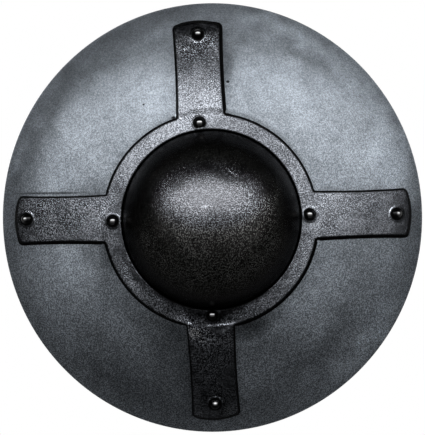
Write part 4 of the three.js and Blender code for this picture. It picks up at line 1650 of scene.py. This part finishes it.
def makeRove(name, back):
    middle, axis, low, high = nudgedAxis("rove_", name)
    profile = rounded([(rove["bore"], low), (rove["radius"], low), (rove["radius"], high),
                       (rove["bore"], high)], rove["soft"], loop=True)
    points, faces = turnedMesh(profile, rove["segments"], loop=True)
    placed = setOnAxis(points, middle + back, axis)
    makePiece("roveDisc_" + name, placed, faces, "bar_steel", ["rove_" + name])


for rivetName in rivetNames:
    makeRove(rivetName, makeRivet(rivetName))
print("rivets peened")


# Handle: a forged bar with two wooden scales and three pins
handle = {
    "barThickness": 3 * mm,
    "barEnd": 9.5 * mm,
    "tangWidth": 18 * mm,
    "tangReach": 62 * mm,
    "barSoft": 0.6 * mm,
    "barEase": 0.3,  # share of barSoft where the eased edge has its middle
    "barSteps": 12,
    "scaleLength": 108 * mm,
    "scaleWidth": 28 * mm,
    "scaleThickness": 9.6 * mm,
    "scaleGap": 0.1 * mm,
    "scaleFullness": 0.8,  # below 1 its section is squarer
    "scaleStations": 72,
    "scaleSides": 28,
    "swell": 0.2,
    "endShare": 0.985,  # how far out its ends round off, and how suddenly
    "endPower": 12,
    "pinRadius": 2.2 * mm,
    "pinDome": 0.8 * mm,
    "pinSteps": 6,
    "pinSegments": 28,
}
gripLeft = axisOf("rivet_inner_left")[0]
gripRight = axisOf("rivet_inner_right")[0]
gripTurn = math.atan2(gripRight[2] - gripLeft[2], gripRight[0] - gripLeft[0])
halfSpan = math.hypot(gripRight[2] - gripLeft[2], gripRight[0] - gripLeft[0]) / 2


def inGrip(points):
    # from the handle's own frame, x along its bar, into place
    c, s = math.cos(gripTurn), math.sin(gripTurn)
    x, y, z = points[:, 0], points[:, 1], points[:, 2]
    return np.stack([x * c - z * s, y, x * s + z * c], axis=1)


def barOutline():
    half = handle["tangWidth"] / 2
    reach = handle["tangReach"]
    end = handle["barEnd"]
    steps = handle["barSteps"]
    blend = (halfSpan - reach) / 2
    a = np.array([reach, half])
    b = np.array([reach + blend, half])
    c = np.array([halfSpan - blend, end])
    d = np.array([halfSpan, end])
    quarter = []
    for i in range(steps + 1):
        t = i / steps
        quarter.append((1 - t) ** 3 * a + 3 * t * (1 - t) ** 2 * b + 3 * t ** 2 * (1 - t) * c + t ** 3 * d)
    for i in range(1, steps + 1):
        angle = math.pi / 2 * (1 - i / steps)
        quarter.append(np.array([halfSpan + end * math.cos(angle), end * math.sin(angle)]))
    right = quarter + [point * (1, -1) for point in quarter[-2::-1]]
    left = [point * (-1, -1) for point in right]
    return np.array(right + left)


def makeBar():
    outline = barOutline()
    soft = handle["barSoft"]
    ease = handle["barEase"] * soft
    deep = handle["barThickness"] / 2
    loops = []
    for inset, y in [(soft, -deep), (ease, -deep + ease), (0, -deep + soft),
                     (0, deep - soft), (ease, deep - ease), (soft, deep)]:
        loop = offsetLoop(outline, inset)
        loops.append(np.stack([loop[:, 0], np.full(len(loop), y), loop[:, 1]], axis=1))
    faces = cappedFaces(len(loops), len(outline))
    makePiece("gripBar", inGrip(np.concatenate(loops)), faces, "bar_steel", ["grip_bar"], sharp=50)


def fullness(share):
    ends = (handle["endShare"] * abs(share)) ** handle["endPower"]
    return (1 - handle["swell"] * share ** 2) * math.sqrt(1 - ends)


def makeScale(name, forwards):
    stations, sides = handle["scaleStations"], handle["scaleSides"]
    base = handle["barThickness"] / 2 + handle["scaleGap"]
    points = []
    for i in range(stations + 1):
        share = -math.cos(math.pi * i / stations)
        full = fullness(share)
        for j in range(sides + 1):
            angle = math.pi * j / sides
            height = base + handle["scaleThickness"] * full * math.sin(angle) ** handle["scaleFullness"]
            width = handle["scaleWidth"] / 2 * full * math.cos(angle)
            points.append((share * handle["scaleLength"] / 2, -forwards * height, width))
    faces = cappedFaces(stations + 1, sides + 1)
    makePiece("gripWood_" + name, inGrip(np.array(points)), faces, "grip_wood",
              ["grip_scale_" + name], sharp=50)


def makePins():
    radius, dome, steps = handle["pinRadius"], handle["pinDome"], handle["pinSteps"]
    for name in ("left", "middle", "right"):
        middle, axis, low, high = axisOf("grip_pin_" + name)
        profile = []
        for i in range(steps + 1):
            angle = math.pi / 2 * i / steps
            profile.append((radius * math.sin(angle), high - dome * (1 - math.cos(angle))))
        profile += [(r, -a + low + high) for r, a in profile[::-1]]
        points, faces = turnedMesh(profile, handle["pinSegments"])
        placed = setOnAxis(points, middle, axis)
        makePiece("gripPin_" + name, placed, faces, "pin_steel", ["grip_pin_" + name])


makeBar()
makeScale("front", 1)
makeScale("back", -1)
makePins()
print("handle fitted")
